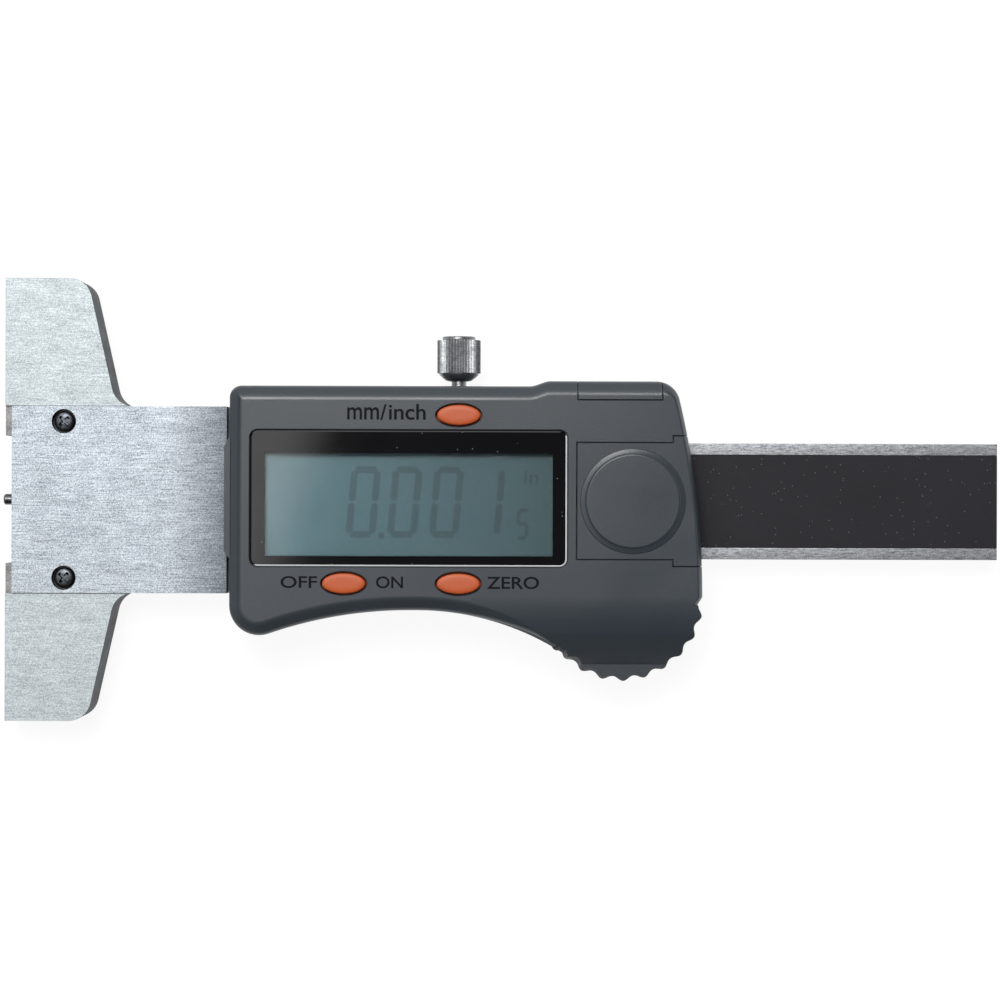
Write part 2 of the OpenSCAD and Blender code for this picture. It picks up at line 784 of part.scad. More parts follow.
module lcd_holder() {
    x0 = window_x - holder_l / 2;
    x1 = window_x + holder_l / 2;
    color([0.9, 0.9, 0.88]) difference() {
        block([x0, holder_low, board_top], [x1, holder_high, lcd_z]);
        block([x0 + holder_wall, holder_low + holder_wall, board_top - past],
              [x1 - holder_wall, holder_high - holder_wall, lcd_z + past]);
    }
}

module zebra_strip() {
    low = holder_low + holder_wall + run;
    color([0.55, 0.35, 0.4])
        block([window_x - lcd_l / 2 + 2, low, board_top], [window_x + lcd_l / 2 - 2, low + zebra_w, lcd_z]);
}

// ---- Board ----

module circuit_board() {
    color([0.12, 0.36, 0.2]) difference() {
        union() {
            block([board_x, board_low, board_z], [board_end, board_high, board_top]);
            block([board_end - past, tongue_low, board_z], [tongue_end, board_high, board_top]);
        }
        at_back_screws(0) rod_z([0, 0, 0], bore_r + boss_wall + 0.15, base_t);
        for (p = board_screw_at) rod_z([p[0], p[1], 0], bore_r, base_t);
    }
}

module chip() {
    color([0.06, 0.06, 0.07]) translate([window_x, lcd_y, board_top]) {
        cylinder(r = chip_r, h = chip_h);
        translate([0, 0, chip_h]) cylinder(r1 = chip_r, r2 = chip_r - 1, h = chip_h);
    }
}

module board_screws() {
    color([0.66, 0.68, 0.7]) for (p = board_screw_at) translate([p[0], p[1], board_top]) difference() {
        union() {
            rod_z([0, 0, 0], board_head_r, board_head_h);
            rod_z([0, 0, -board_t - board_screw_low], screw_r, board_t + board_screw_low);
        }
        cross_recess(board_head_h, cross_w - 0.2);
    }
}

module button_domes() {
    color([0.85, 0.86, 0.87]) for (p = button_at) translate([p[0], p[1], board_top])
        cylinder(r1 = dome_r, r2 = dome_r - 0.6, h = dome_h);
}

// ---- Buttons ----

module button(at) {
    a = button_l / 2;
    b = button_w / 2;
    crown_z = face_z + button_up - button_crown;
    color([0.87, 0.42, 0.24]) translate([at[0], at[1], 0]) {
        translate([0, 0, roof_z - 0.1]) linear_extrude(crown_z - roof_z + 0.1) oval(a, b);
        translate([0, 0, crown_z]) linear_extrude(button_crown)
            oval(a - button_round, b - button_round);
        // Flange that keeps it in the housing, and the stem to its dome
        translate([0, 0, roof_z - run - flange_t]) linear_extrude(flange_t)
            oval(a + flange_l, b + flange_w);
        rod_z([0, 0, stem_z], stem_r, roof_z - flange_t / 2 - stem_z);
    }
}

module button_mode() {
    button(button_at[0]);
}

module button_power() {
    button(button_at[1]);
}

module button_zero() {
    button(button_at[2]);
}

// ---- Battery ----

module battery() {
    color([0.8, 0.8, 0.78]) {
        rod_z([battery_x, 0, battery_z + battery_foot], battery_d / 2, battery_h - battery_foot);
        rod_z([battery_x, 0, battery_z], battery_d / 2 - 1, battery_foot + 0.1);
    }
}

module battery_contact_positive() {
    color([0.85, 0.8, 0.6]) {
        bar(board_end - 1, leaf_x + leaf_t, plus_y, board_top, board_top + leaf_t);
        bar(leaf_x, leaf_x + leaf_t, plus_y, board_top, cover_z - 0.8);
        rod_x([leaf_x + leaf_t / 2, 0, battery_z + battery_h / 2], 0.7, leaf_t);
    }
}

module battery_contact_negative() {
    x0 = board_end - 1;
    x1 = battery_x + 1.5;
    top = bay_floor_z + leaf_t;
    color([0.85, 0.8, 0.6]) {
        block([x0, minus_low, board_top], [x0 + leaf_t, minus_high, top]);
        block([x0, minus_low, bay_floor_z], [x1, minus_high, top]);
        block([battery_x - 1.5, minus_low, bay_floor_z], [x1, plus_y, top]);
        rod_z([battery_x, 0, top - leaf_t / 2], 1, battery_z - top + leaf_t / 2 - 0.02);
    }
}

module battery_cover() {
    end = housing_end + past;
    color([0.34, 0.37, 0.4]) {
        intersection() {
            housing_form();
            union() {
                bar(cover_x, end, cover_y, cover_z, face_z + past);
                bar(jog_x, end, cover_end_y, cover_z, face_z + past);
                bar(cover_x, jog_x + 1, cover_y + tongue_w, cover_z, cover_z + tongue_t);
                // Flap that closes the end of the bay
                difference() {
                    bar(jog_x + 1, end, cover_end_y, flap_z, cover_z + 0.3);
                    outline_slab(flap_inset, 0, cover_z);
                }
            }
        }
        translate([battery_x, 0, face_z - run])
            cylinder(r1 = boss_r, r2 = boss_r - boss_fall, h = boss_h + run, $fn = 72);
    }
}

// ---- Port ----

module port_contacts() {
    y1 = board_high - 0.2;
    color([0.85, 0.7, 0.3]) for (k = [-1.5:1:1.5]) let (x = port_mid + k * pad_pitch)
        block([x - pad_w / 2, y1 - pad_l, board_top], [x + pad_w / 2, y1, board_top + 0.08]);
}

module port_cover() {
    lug_w = port_slot_w / 2 - part_gap;
    color([0.33, 0.36, 0.39]) {
        intersection() {
            housing_form();
            difference() {
                block([port_x, port_y, port_seat_z + part_gap],
                      [port_x + port_l, step_y + past, face_z + past]);
                block([port_x - past, port_y - past, 0],
                      [port_x + port_l + past, port_wall_y + run, window_z]);
            }
        }
        // Lug in the slot
        block([port_mid - lug_w, port_wall_y - lug_l, board_top + 0.2],
              [port_mid + lug_w, port_wall_y + 0.2, board_z + port_slot_h]);
    }
}

// ---- Lock screw ----

module lock_screw() {
    tip_y = pad_y + pad_t;
    grip_y = knob_y + knob_bowl;
    color([0.6, 0.61, 0.62]) difference() {
        union() {
            rod_y([lock_x, tip_y, 0], lock_d / 2, grip_y - tip_y);
            translate([lock_x, knob_y, 0]) rotate([-90, 0, 0])
                cylinder(r1 = lock_d / 2 + bowl_rim, r2 = knob_d / 2, h = knob_bowl);
            rod_y([lock_x, grip_y, 0], knob_d / 2, knob_h);
            rod_y([lock_x, grip_y + knob_h, 0], knob_d / 2 - knob_inset, knob_step);
        }
        // Straight knurl
        for (k = [0:flutes - 1]) translate([lock_x, 0, 0]) rotate([0, k * 360 / flutes, 0])
            rod_y([knob_d / 2 + flute_out, grip_y - 0.4, 0], flute_r, knob_h + past);
    }
}

module lock_pad() {
    color([0.75, 0.6, 0.3]) rod_y([lock_x, pad_y, 0], lock_d / 2 - 0.1, pad_t);
}

base();
slider_frame();
base_screws();
back_plate();
back_screws();
gib();
gib_screws();
beam();
scale_board();
scale_sticker();
probe_pin();
stop_screw();
housing();
display_window();
lcd();
lcd_holder();
zebra_strip();
circuit_board();
chip();
board_screws();
button_domes();
button_mode();
button_power();
button_zero();
battery();
battery_contact_positive();
battery_contact_negative();
port_contacts();
battery_cover();
port_cover();
lock_screw();
lock_pad();
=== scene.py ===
# %% [markdown]
# # A small digital depth gauge
# The gauge lies on its back and is seen from straight above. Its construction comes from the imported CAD
# model, which is loaded here as a fixed frame. Every piece below either gives a CAD node its finish, or is
# a finer mesh that takes a node's place and rides on the same body, so the joints still work.

# %% Load the frame
import math

import bmesh
import bpy
from mathutils import Euler, Matrix, Vector


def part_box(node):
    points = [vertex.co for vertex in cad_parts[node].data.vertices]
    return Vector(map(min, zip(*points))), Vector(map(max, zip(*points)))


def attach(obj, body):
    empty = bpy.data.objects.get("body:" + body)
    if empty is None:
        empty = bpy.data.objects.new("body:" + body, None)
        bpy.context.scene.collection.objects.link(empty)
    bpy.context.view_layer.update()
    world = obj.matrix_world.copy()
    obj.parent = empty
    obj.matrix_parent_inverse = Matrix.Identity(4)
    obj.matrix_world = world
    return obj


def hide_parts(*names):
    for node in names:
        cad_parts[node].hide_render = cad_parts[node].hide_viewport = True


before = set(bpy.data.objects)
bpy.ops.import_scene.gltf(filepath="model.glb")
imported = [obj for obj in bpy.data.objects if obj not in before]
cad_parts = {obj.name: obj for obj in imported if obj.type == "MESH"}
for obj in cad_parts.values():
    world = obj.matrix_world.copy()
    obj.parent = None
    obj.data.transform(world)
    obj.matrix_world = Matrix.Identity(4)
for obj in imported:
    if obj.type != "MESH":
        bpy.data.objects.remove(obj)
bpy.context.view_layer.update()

MM = 0.001

# %% [markdown]
# ## Places
# Blender works in metres and the gauge is drawn in millimetres, so every helper takes millimetres and
# scales once. Places are read from the frame's boxes, so that nothing has to be fitted afterwards.


# %% Boxes of the CAD nodes in millimetres
def span(node):
    """Lowest and highest corner of a CAD node, in millimetres."""
    low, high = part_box(node)
    return low / MM, high / MM


shell_low, shell_high = span("housing")
plate_low, plate_high = span("slider_frame")
back_high = span("back_plate")[1]
beam_high = span("beam")[1]
board_low, board_high = span("circuit_board")
glass_low, glass_high = span("lcd")
window_low, window_high = span("display_window")
lid_low = span("battery_cover")[0]
port_low, port_high = span("port_cover")
cell_low, cell_high = span("battery")
knob_low, knob_high = span("lock_screw")
base_low = span("base")[0]

# A fine clearance, and how far a cutter reaches past what it cuts
FINE = 0.05
PAST = 1.0
face_z = shell_high.z
print("face of the housing at", round(face_z, 2), "mm")

# %% [markdown]
# ## Small tools
# Most of the gauge is made of solids with a flat outline: a loft joins rings of points, and a lathe is a
# loft of circles. Booleans cut the openings. The result of the modifiers is turned into a plain mesh each
# time, because a finished piece has to sit at the origin without modifiers.


# %% Making meshes
def linked(name, data):
    """A new object that is part of the scene."""
    thing = bpy.data.objects.new(name, data)
    bpy.context.scene.collection.objects.link(thing)
    return thing


def mesh_object(name, points, faces):
    """A mesh through points in millimetres, with its faces turned outwards."""
    mesh = bpy.data.meshes.new(name)
    mesh.from_pydata([Vector(p) * MM for p in points], [], faces)
    thing = linked(name, mesh)
    shape = bmesh.new()
    shape.from_mesh(mesh)
    bmesh.ops.recalc_face_normals(shape, faces=shape.faces)
    shape.to_mesh(mesh)
    shape.free()
    return thing


def loft(name, rings):
    """A closed solid through rings of points, with a flat cap at both ends."""
    n = len(rings[0])
    points = [p for ring in rings for p in ring]
    faces = [(i * n + j, i * n + (j + 1) % n, (i + 1) * n + (j + 1) % n, (i + 1) * n + j)
             for i in range(len(rings) - 1) for j in range(n)]
    faces += [tuple(reversed(range(n))), tuple(range(len(points) - n, len(points)))]
    return mesh_object(name, points, faces)


def at_height(outline, z):
    return [(x, y, z) for x, y in outline]


def stack(name, outline_at, levels):
    """A loft of one outline. outline_at takes its growth or radius, and levels are (growth, height) pairs."""
    return loft(name, [at_height(outline_at(d), z) for d, z in levels])


def slab(name, outline, z0, z1):
    return loft(name, [at_height(outline, z0), at_height(outline, z1)])


def block(name, a, b):
    return slab(name, [(a[0], a[1]), (b[0], a[1]), (b[0], b[1]), (a[0], b[1])], a[2], b[2])


def bar(name, x0, x1, y, z0, z1):
    """A box that lies evenly about the probe's plane."""
    return block(name, (x0, -y, z0), (x1, y, z1))


def oval(a, b, x, y, steps=72):
    return [(x + a * math.cos(2 * math.pi * k / steps), y + b * math.sin(2 * math.pi * k / steps))
            for k in range(steps)]


def circle(r, steps, x=0.0, y=0.0):
    return oval(r, r, x, y, steps)


def arc(centre, r, a0, a1, n, first=0):
    """Points from angle a0 to a1, in degrees, in n steps. first leaves out the first points."""
    turns = [math.radians(a0 + (a1 - a0) * i / max(n, 1)) for i in range(first, n + 1)]
    return [(centre[0] + r * math.cos(a), centre[1] + r * math.sin(a)) for a in turns]


def round_rect(x0, x1, y0, y1, r):
    """A rectangle with round corners, counter-clockwise."""
    corners = [(x1 - r, y1 - r, 0), (x0 + r, y1 - r, 90), (x0 + r, y0 + r, 180), (x1 - r, y0 + r, 270)]
    return [p for x, y, a in corners for p in arc((x, y), r, a, a + 90, 8)]


def lathe(name, profile, steps=64):
    """A solid turned about Z from (radius, height) pairs, the lowest first."""
    return stack(name, lambda r: circle(r, steps), profile)


def place(thing, at=(0, 0, 0), turn=(0, 0, 0)):
    """Moves a mesh itself, so that its object stays at the origin."""
    thing.data.transform(Matrix.Translation(Vector(at) * MM) @ Euler(turn).to_matrix().to_4x4())
    return thing


def bake(thing):
    """Makes what the modifiers show the object's own plain mesh."""
    shown = thing.evaluated_get(bpy.context.evaluated_depsgraph_get())
    mesh = bpy.data.meshes.new_from_object(shown)
    thing.modifiers.clear()
    thing.data = mesh
    return thing


def combine(thing, other, how="DIFFERENCE"):
    """A boolean of two closed solids. The second one is used up."""
    step = thing.modifiers.new(how, "BOOLEAN")
    step.operation = how
    step.solver = "MANIFOLD"
    step.object = other
    bake(thing)
    bpy.data.objects.remove(other)
    return thing


# %% [markdown]
# Real edges are never perfectly sharp: a line of light runs along each of them. A narrow bevel gives that
# line. Weighted normals keep the flat faces flat beside it, and edges over 35 degrees stay crisp.


# %% Edges and shading
SHARP = 35


def bevelled(thing, width):
    step = thing.modifiers.new("Edge", "BEVEL")
    step.width = width * MM
    step.segments = 2
    step.limit_method = "ANGLE"
    step.angle_limit = math.radians(SHARP)
    step.use_clamp_overlap = True
    return bake(thing)


def shaded(thing, angle=SHARP):
    """Smooth shading between sharp edges, with the large faces left flat."""
    mesh = thing.data
    mesh.polygons.foreach_set("use_smooth", [True] * len(mesh.polygons))
    mesh.set_sharp_from_angle(angle=math.radians(angle))
    step = thing.modifiers.new("Normals", "WEIGHTED_NORMAL")
    step.keep_sharp = True
    step.weight = 100
    return bake(thing)


def from_node(node, name):
    """A copy of a CAD node with its loose triangles joined into whole faces."""
    thing = linked(name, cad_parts[node].data.copy())
    shape = bmesh.new()
    shape.from_mesh(thing.data)
    bmesh.ops.remove_doubles(shape, verts=shape.verts, dist=2e-6)
    bmesh.ops.dissolve_limit(shape, angle_limit=math.radians(0.3), verts=shape.verts, edges=shape.edges)
    shape.to_mesh(thing.data)
    shape.free()
    return thing


def dressed(thing, material, body, slot, *nodes):
    """Gives a piece its material, lets it ride on its body and stand for its CAD nodes."""
    thing.data.materials.clear()
    for one in material if isinstance(material, list) else [material]:
        thing.data.materials.append(one)
    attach(thing, body)
    if nodes:
        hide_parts(*nodes)
    print(thing.name, "rides on", body, "with", len(thing.data.polygons), "faces")
    return thing


# %% [markdown]
# ## Camera
# The photograph looks straight down. The lens and height follow from two scales in it: the wings of the
# base and the face of the housing differ by almost 7 mm in height, and so slightly in scale. The gauge is
# turned a sixth of a degree in the picture.

# %% Camera
VIEW_X = 67.07
VIEW_HEIGHT = 375.0
LENS = 98.6
VIEW_Y = 0.1
ROLL = 0.17

eye = linked("eye", bpy.data.cameras.new("eye"))
eye.data.lens = LENS
eye.data.sensor_width = 36
eye.data.clip_start = 0.01
eye.location = Vector((VIEW_X, VIEW_Y, VIEW_HEIGHT)) * MM
eye.rotation_euler = (0, 0, math.radians(ROLL))
bpy.context.scene.camera = eye
print("camera", round(VIEW_HEIGHT, 1), "mm above the probe's axis")

# %% [markdown]
# ## Floor, world and lamp
# The floor is white to the camera and to reflections, yet takes the gauge's soft shadow, because part of
# its light is what really falls on it. The world is a studio with pale walls, a dim ceiling and a soft box
# over the left of the gauge, which brightens the left of the steel and of the black window. The lamp is
# the main light. It hangs twenty degrees behind the vertical, so faces that fall away from it turn dark.


# %% Node helpers
def node(tree, kind, settings=None, family="Shader", **inputs):
    """Adds a node. A name such as Base_Color is the socket Base Color, and _0 the first socket.
    A node given as a value stands for its first output."""
    made = tree.nodes.new(family + "Node" + kind)
    for key, value in (settings or {}).items():
        setattr(made, key, value)
    for key, value in inputs.items():
        socket = made.inputs[int(key[1:])] if key[0] == "_" else made.inputs[key.replace("_", " ")]
        if isinstance(value, bpy.types.Node):
            value = value.outputs[0]
        if isinstance(value, bpy.types.NodeSocket):
            tree.links.new(value, socket)
        else:
            socket.default_value = value
    return made


def math_node(tree, how, a, b=0.0):
    return node(tree, "Math", {"operation": how}, _0=a, _1=b).outputs[0]


def ramp(tree, value, low, high, to_low=0.0, to_high=1.0, smooth=False):
    kind = "SMOOTHSTEP" if smooth else "LINEAR"
    return node(tree, "MapRange", {"interpolation_type": kind}, _0=value, _1=low, _2=high,
                _3=to_low, _4=to_high).outputs[0]


def tint(tree, amount, a, b):
    """A colour between a and b."""
    mixed = node(tree, "Mix", {"data_type": "RGBA"})
    for index, value in ((0, amount), (6, a), (7, b)):
        if isinstance(value, bpy.types.NodeSocket):
            tree.links.new(value, mixed.inputs[index])
        else:
            mixed.inputs[index].default_value = value if index == 0 else (*value, 1.0)
    return mixed.outputs[2]


# %% Floor
FLOOR_REACH = 3000
FLOOR_COLOUR = (0.80, 0.80, 0.80)
FLOOR_SHADED = (0.12, 0.12, 0.12)
FLOOR_GLOW = 0.92
floor_z = base_low.z

reach = FLOOR_REACH
floor = mesh_object("floor", at_height([(-reach, -reach), (reach, -reach), (reach, reach), (-reach, reach)],
                                       floor_z), [(0, 1, 2, 3)])
paper = bpy.data.materials.new("paper")
paper.use_nodes = True
tree = paper.node_tree
tree.nodes.clear()
path = node(tree, "LightPath")
seen = math_node(tree, "MAXIMUM", path.outputs["Is Camera Ray"], path.outputs["Is Glossy Ray"])
seen = math_node(tree, "MAXIMUM", seen, path.outputs["Is Transmission Ray"])
lit = node(tree, "BsdfDiffuse", Color=(*FLOOR_COLOUR, 1))
faint = node(tree, "BsdfDiffuse", Color=(*FLOOR_SHADED, 1))
glow = node(tree, "Emission", Strength=FLOOR_GLOW)
bright = node(tree, "AddShader", _0=faint, _1=glow)
shown = node(tree, "MixShader", _0=seen, _1=lit, _2=bright)
node(tree, "OutputMaterial", Surface=shown)
floor.data.materials.append(paper)
print("floor at", round(floor_z, 2), "mm")

# %% World
CEILING = 0.12
SOFT_BOX = 2.12
DARK_WALL, PALE_WALL = 0.15, 0.95
world = bpy.data.worlds.new("studio")
bpy.context.scene.world = world
world.use_nodes = True
tree = world.node_tree
tree.nodes.clear()
way = node(tree, "SeparateXYZ", Vector=node(tree, "TexCoord").outputs["Generated"])
right, back, up = way.outputs
edge = math_node(tree, "ADD", math_node(tree, "MULTIPLY", right, -0.965),
                 math_node(tree, "MULTIPLY", back, 0.26))
box = math_node(tree, "MULTIPLY", ramp(tree, edge, 0.060, 0.084, smooth=True),
                ramp(tree, right, -0.62, -0.45, smooth=True))
box = math_node(tree, "MULTIPLY", box, ramp(tree, back, -0.42, -0.25, smooth=True))
above = ramp(tree, box, 0, 1, CEILING, SOFT_BOX)
walls = ramp(tree, back, -0.7, 0.1, DARK_WALL, PALE_WALL)
light = node(tree, "Mix", _0=ramp(tree, up, 0.30, 0.50, smooth=True), _2=walls, _3=above).outputs[0]
light = node(tree, "Mix", _0=node(tree, "LightPath").outputs["Is Camera Ray"], _2=light, _3=1.0).outputs[0]
node(tree, "OutputWorld", Surface=node(tree, "Background", Strength=light).outputs[0])

# %% Lamp
LAMP_POWER = 9.0
LAMP_SIZE = 0.40
LAMP_AT = Vector((-0.05, 0.47, 1.30))
LAMP_AIM = Vector((0.06, 0, 0))
lamp = linked("lamp", bpy.data.lights.new("lamp", "AREA"))
lamp.data.energy = LAMP_POWER
lamp.data.size = LAMP_SIZE
lamp.location = LAMP_AT
lamp.rotation_euler = (LAMP_AIM - LAMP_AT).to_track_quat("-Z", "Y").to_euler()
bpy.context.scene.view_settings.view_transform = "Standard"
print("lamp of", LAMP_POWER, "W")

# %% [markdown]
# ## Shared surface effects
# Four effects come back in several finishes, so each is a node group: the lines that grinding and brushing
# leave, the fine grain of a moulded part, dust specks, and the faint smears of handling. They put out
# masks, and each material decides what the masks do to its colour, roughness and relief.


# %% Effect groups
def effect(name, inputs, outputs):
    """A shader group with float inputs and outputs; returns the tree and its two end nodes."""
    made = bpy.data.node_groups.new(name, "ShaderNodeTree")
    for label, value in inputs.items():
        made.interface.new_socket(label, in_out="INPUT", socket_type="NodeSocketFloat").default_value = value
    for label in outputs:
        made.interface.new_socket(label, in_out="OUTPUT", socket_type="NodeSocketFloat")
    return made, made.nodes.new("NodeGroupInput"), made.nodes.new("NodeGroupOutput")


def along_gauge(tree):
    """How far along the gauge a point lies, in metres."""
    return node(tree, "SeparateXYZ", Vector=node(tree, "TexCoord").outputs["Object"]).outputs[0]


def stretched(tree, x=1.0, y=1.0, z=1.0):
    """Object coordinates, each multiplied by its own frequency per metre."""
    place_of = node(tree, "TexCoord").outputs["Object"]
    scale = node(tree, "CombineXYZ", X=x, Y=y, Z=z).outputs[0]
    return node(tree, "VectorMath", {"operation": "MULTIPLY"}, _0=place_of, _1=scale).outputs[0]


brush_marks, ends, out = effect("brush_marks", {"Along": 150.0, "Across": 5000.0, "Mottle": 260.0},
                                ["Lines", "Grain", "Mottle"])
where = stretched(brush_marks, ends.outputs["Along"], ends.outputs["Across"], ends.outputs["Across"])
lines = node(brush_marks, "TexNoise", Vector=where, Scale=1.0, Detail=5.0, Roughness=0.65)
mottle = node(brush_marks, "TexNoise", Vector=stretched(brush_marks, y=2.2),
              Scale=ends.outputs["Mottle"], Detail=4.0, Roughness=0.6)
grit = node(brush_marks, "TexNoise", Vector=stretched(brush_marks), Scale=6500.0, Detail=2.0, Roughness=0.7)
for label, mark in (("Lines", lines), ("Grain", grit), ("Mottle", mottle)):
    brush_marks.links.new(mark.outputs[0], out.inputs[label])

moulded_grain, ends, out = effect("moulded_grain", {"Scale": 7000.0}, ["Grain", "Cloud"])
fine = node(moulded_grain, "TexNoise", Vector=stretched(moulded_grain),
            Scale=ends.outputs["Scale"], Detail=2.0, Roughness=0.6)
cloud = node(moulded_grain, "TexNoise", Vector=stretched(moulded_grain), Scale=90.0, Detail=3.0)
for label, mark in (("Grain", fine), ("Cloud", cloud)):
    moulded_grain.links.new(mark.outputs[0], out.inputs[label])

dust_specks, ends, out = effect("dust_specks", {"Scale": 1400.0, "Share": 0.1, "Size": 0.1}, ["Speck"])
cells = node(dust_specks, "TexVoronoi", Vector=stretched(dust_specks), Scale=ends.outputs["Scale"])
chosen = math_node(dust_specks, "LESS_THAN",
                   node(dust_specks, "SeparateColor", Color=cells.outputs["Color"]).outputs[0],
                   ends.outputs["Share"])
close = math_node(dust_specks, "LESS_THAN", cells.outputs["Distance"], ends.outputs["Size"])
dust_specks.links.new(math_node(dust_specks, "MULTIPLY", chosen, close), out.inputs["Speck"])

handling, ends, out = effect("handling", {"Scale": 45.0}, ["Smear"])
smear = node(handling, "TexNoise", Vector=stretched(handling, y=1.6),
             Scale=ends.outputs["Scale"], Detail=3.0, Distortion=0.6)
handling.links.new(ramp(handling, smear.outputs[0], 0.35, 0.7), out.inputs["Smear"])
print("groups:", [g.name for g in bpy.data.node_groups])


# %% Material helpers
def finish_of(name, **sockets):
    """A new material with one Principled shader, whose plain values are set on its own sockets."""
    made = bpy.data.materials.new(name)
    made.use_nodes = True
    shader = made.node_tree.nodes["Principled BSDF"]
    for key, value in sockets.items():
        shader.inputs[key.replace("_", " ")].default_value = value
    return made, made.node_tree, shader


def use(tree, group, **values):
    """Places an effect group in a material with its own values."""
    made = tree.nodes.new("ShaderNodeGroup")
    made.node_tree = group
    for key, value in values.items():
        made.inputs[key].default_value = value
    return made.outputs


def feed(tree, shader, colour=None, roughness=None):
    """Links a colour and a roughness to a shader."""
    for value, label in ((colour, "Base Color"), (roughness, "Roughness")):
        if value is not None:
            tree.links.new(value, shader.inputs[label])


def relief(tree, shader, height, distance):
    """Bump of a real depth in millimetres."""
    bump = node(tree, "Bump", Height=height, Distance=distance * MM, Strength=0.5)
    tree.links.new(bump.outputs[0], shader.inputs["Normal"])


# %% [markdown]
# ## Steel
# Ground, brushed and lapped steel differ in the length and depth of their marks. The marks are a noise
# stretched along the stroke, mixed with a fine grain: they change the colour, and their relief spreads the
# reflections across the stroke, which is how brushed metal gets its glow. Milled walls and edge slopes are
# painted dark as shade, sawn faces stay dark, and the brushed plate is painted darker where it meets the
# housing: a painted shadow and dark reflection of the housing.


# %% Steel finishes
def steel(name, dark, light, rough, along=150.0, across=5000.0, depth=0.004, contrast=1.0,
          shares=(0.45, 0.35, 0.20)):
    """Shares are those of the lines, the grain and the mottle in the colour."""
    made, tree, shader = finish_of(name, Metallic=1.0)
    marks = use(tree, brush_marks, Along=along, Across=across)
    shade = 0.0
    for share, mark in zip(shares, ("Lines", "Grain", "Mottle")):
        shade = math_node(tree, "ADD", shade, math_node(tree, "MULTIPLY", marks[mark], share))
    amount = ramp(tree, shade, 0.5 - 0.12 / contrast, 0.5 + 0.12 / contrast)
    feed(tree, shader, tint(tree, amount, dark, light),
         ramp(tree, marks["Mottle"], 0.3, 0.7, rough[1], rough[0]))
    relief(tree, shader, marks["Lines"], depth)
    return made


ground_steel = steel("ground_steel", (0.27, 0.30, 0.315), (0.635, 0.69, 0.705), (0.53, 0.59), along=600.0,
                     across=8000.0, shares=(0.37, 0.60, 0.03))
brushed_steel = steel("brushed_steel", (0.15, 0.175, 0.208), (0.635, 0.68, 0.725), (0.48, 0.56), along=300.0,
                      across=9000.0, depth=0.005, shares=(0.40, 0.57, 0.03))
lapped_steel = steel("lapped_steel", (0.16, 0.165, 0.18), (0.62, 0.63, 0.66), (0.28, 0.38), along=900.0,
                     across=7000.0, contrast=1.3)

# Painted shade towards the plate's end, where the housing stands over it: its shadow and dark reflection,
# painted over this stretch in millimetres
HOUSING_SHADE_X = (22.0, 30.3)
HOUSING_SHADE = (0.38, 0.38, 0.39, 1)
tree = brushed_steel.node_tree
shader = tree.nodes["Principled BSDF"]
along = along_gauge(tree)
painted_shade = node(tree, "Mix", {"data_type": "RGBA", "blend_type": "MULTIPLY"})
tree.links.new(ramp(tree, along, HOUSING_SHADE_X[0] * MM, HOUSING_SHADE_X[1] * MM), painted_shade.inputs[0])
tree.links.new(shader.inputs["Base Color"].links[0].from_socket, painted_shade.inputs[6])
painted_shade.inputs[7].default_value = HOUSING_SHADE
feed(tree, shader, painted_shade.outputs[2])

# Milled steel, painted dark and dull: painted shade on the walls and edge slopes
milled_steel_shade = steel("milled_steel_shade", (0.05, 0.055, 0.06), (0.10, 0.11, 0.12), (0.5, 0.6), along=900.0)
sawn_steel = steel("sawn_steel", (0.10, 0.10, 0.10), (0.36, 0.355, 0.35), (0.45, 0.6), along=5000.0,
                   shares=(0.3, 0.6, 0.1))
dull = milled_steel_shade.node_tree.nodes["Principled BSDF"].inputs
dull["Metallic"].default_value = 0.2
dull["Specular IOR Level"].default_value = 0.15
plain_steel = steel("plain_steel", (0.42, 0.43, 0.45), (0.66, 0.67, 0.69), (0.28, 0.40), along=900.0)
spring_steel = steel("spring_steel", (0.62, 0.63, 0.64), (0.80, 0.81, 0.82), (0.2, 0.3), along=600.0)
knurled_steel = steel("knurled_steel", (0.18, 0.185, 0.19), (0.47, 0.48, 0.49), (0.34, 0.50), along=1500.0,
                      contrast=1.4)
bronze = steel("bronze", (0.44, 0.30, 0.14), (0.66, 0.48, 0.26), (0.3, 0.45), along=300.0)
dark_steel = steel("dark_steel", (0.03, 0.033, 0.04), (0.13, 0.138, 0.155), (0.32, 0.44), along=2600.0,
                   across=2600.0)
hard_steel = steel("hard_steel", (0.05, 0.05, 0.055), (0.16, 0.16, 0.165), (0.20, 0.30), along=1500.0)
gold = steel("gold", (0.70, 0.52, 0.20), (0.86, 0.68, 0.32), (0.2, 0.3), along=500.0)
nickel_can = steel("nickel_can", (0.60, 0.60, 0.58), (0.74, 0.74, 0.72), (0.22, 0.34), along=400.0)

# %% Black oxide for the plate's screws, also painted as shadow in their seats
oxide_and_seat_shadow, tree, shader = finish_of("oxide_and_seat_shadow", Metallic=0.6, Roughness=0.35)
marks = use(tree, brush_marks, Along=2600.0, Across=2600.0)
feed(tree, shader, tint(tree, marks["Lines"], (0.012, 0.012, 0.014), (0.06, 0.06, 0.065)),
     ramp(tree, marks["Lines"], 0.3, 0.7, 0.22, 0.42))
relief(tree, shader, marks["Lines"], 0.006)

# %% [markdown]
# ## Plastics, film and display
# The housing is moulded in a blue-grey ABS with a fine grain. The grain sparkles along the bright edge of
# the bevel, so it is a real relief in the normal. The orange buttons are smoother. The window's border is
# printed black under a clear gloss, with some dust on it.


# %% Moulded plastics
def plastic(name, dark, light, rough, scale=7000.0, depth=0.006, specular=0.5):
    made, tree, shader = finish_of(name, Specular_IOR_Level=specular)
    grain = use(tree, moulded_grain, Scale=scale)
    hands = use(tree, handling)
    feed(tree, shader, tint(tree, grain["Cloud"], dark, light), ramp(tree, hands["Smear"], 0, 1, *rough))
    relief(tree, shader, grain["Grain"], depth)
    return made


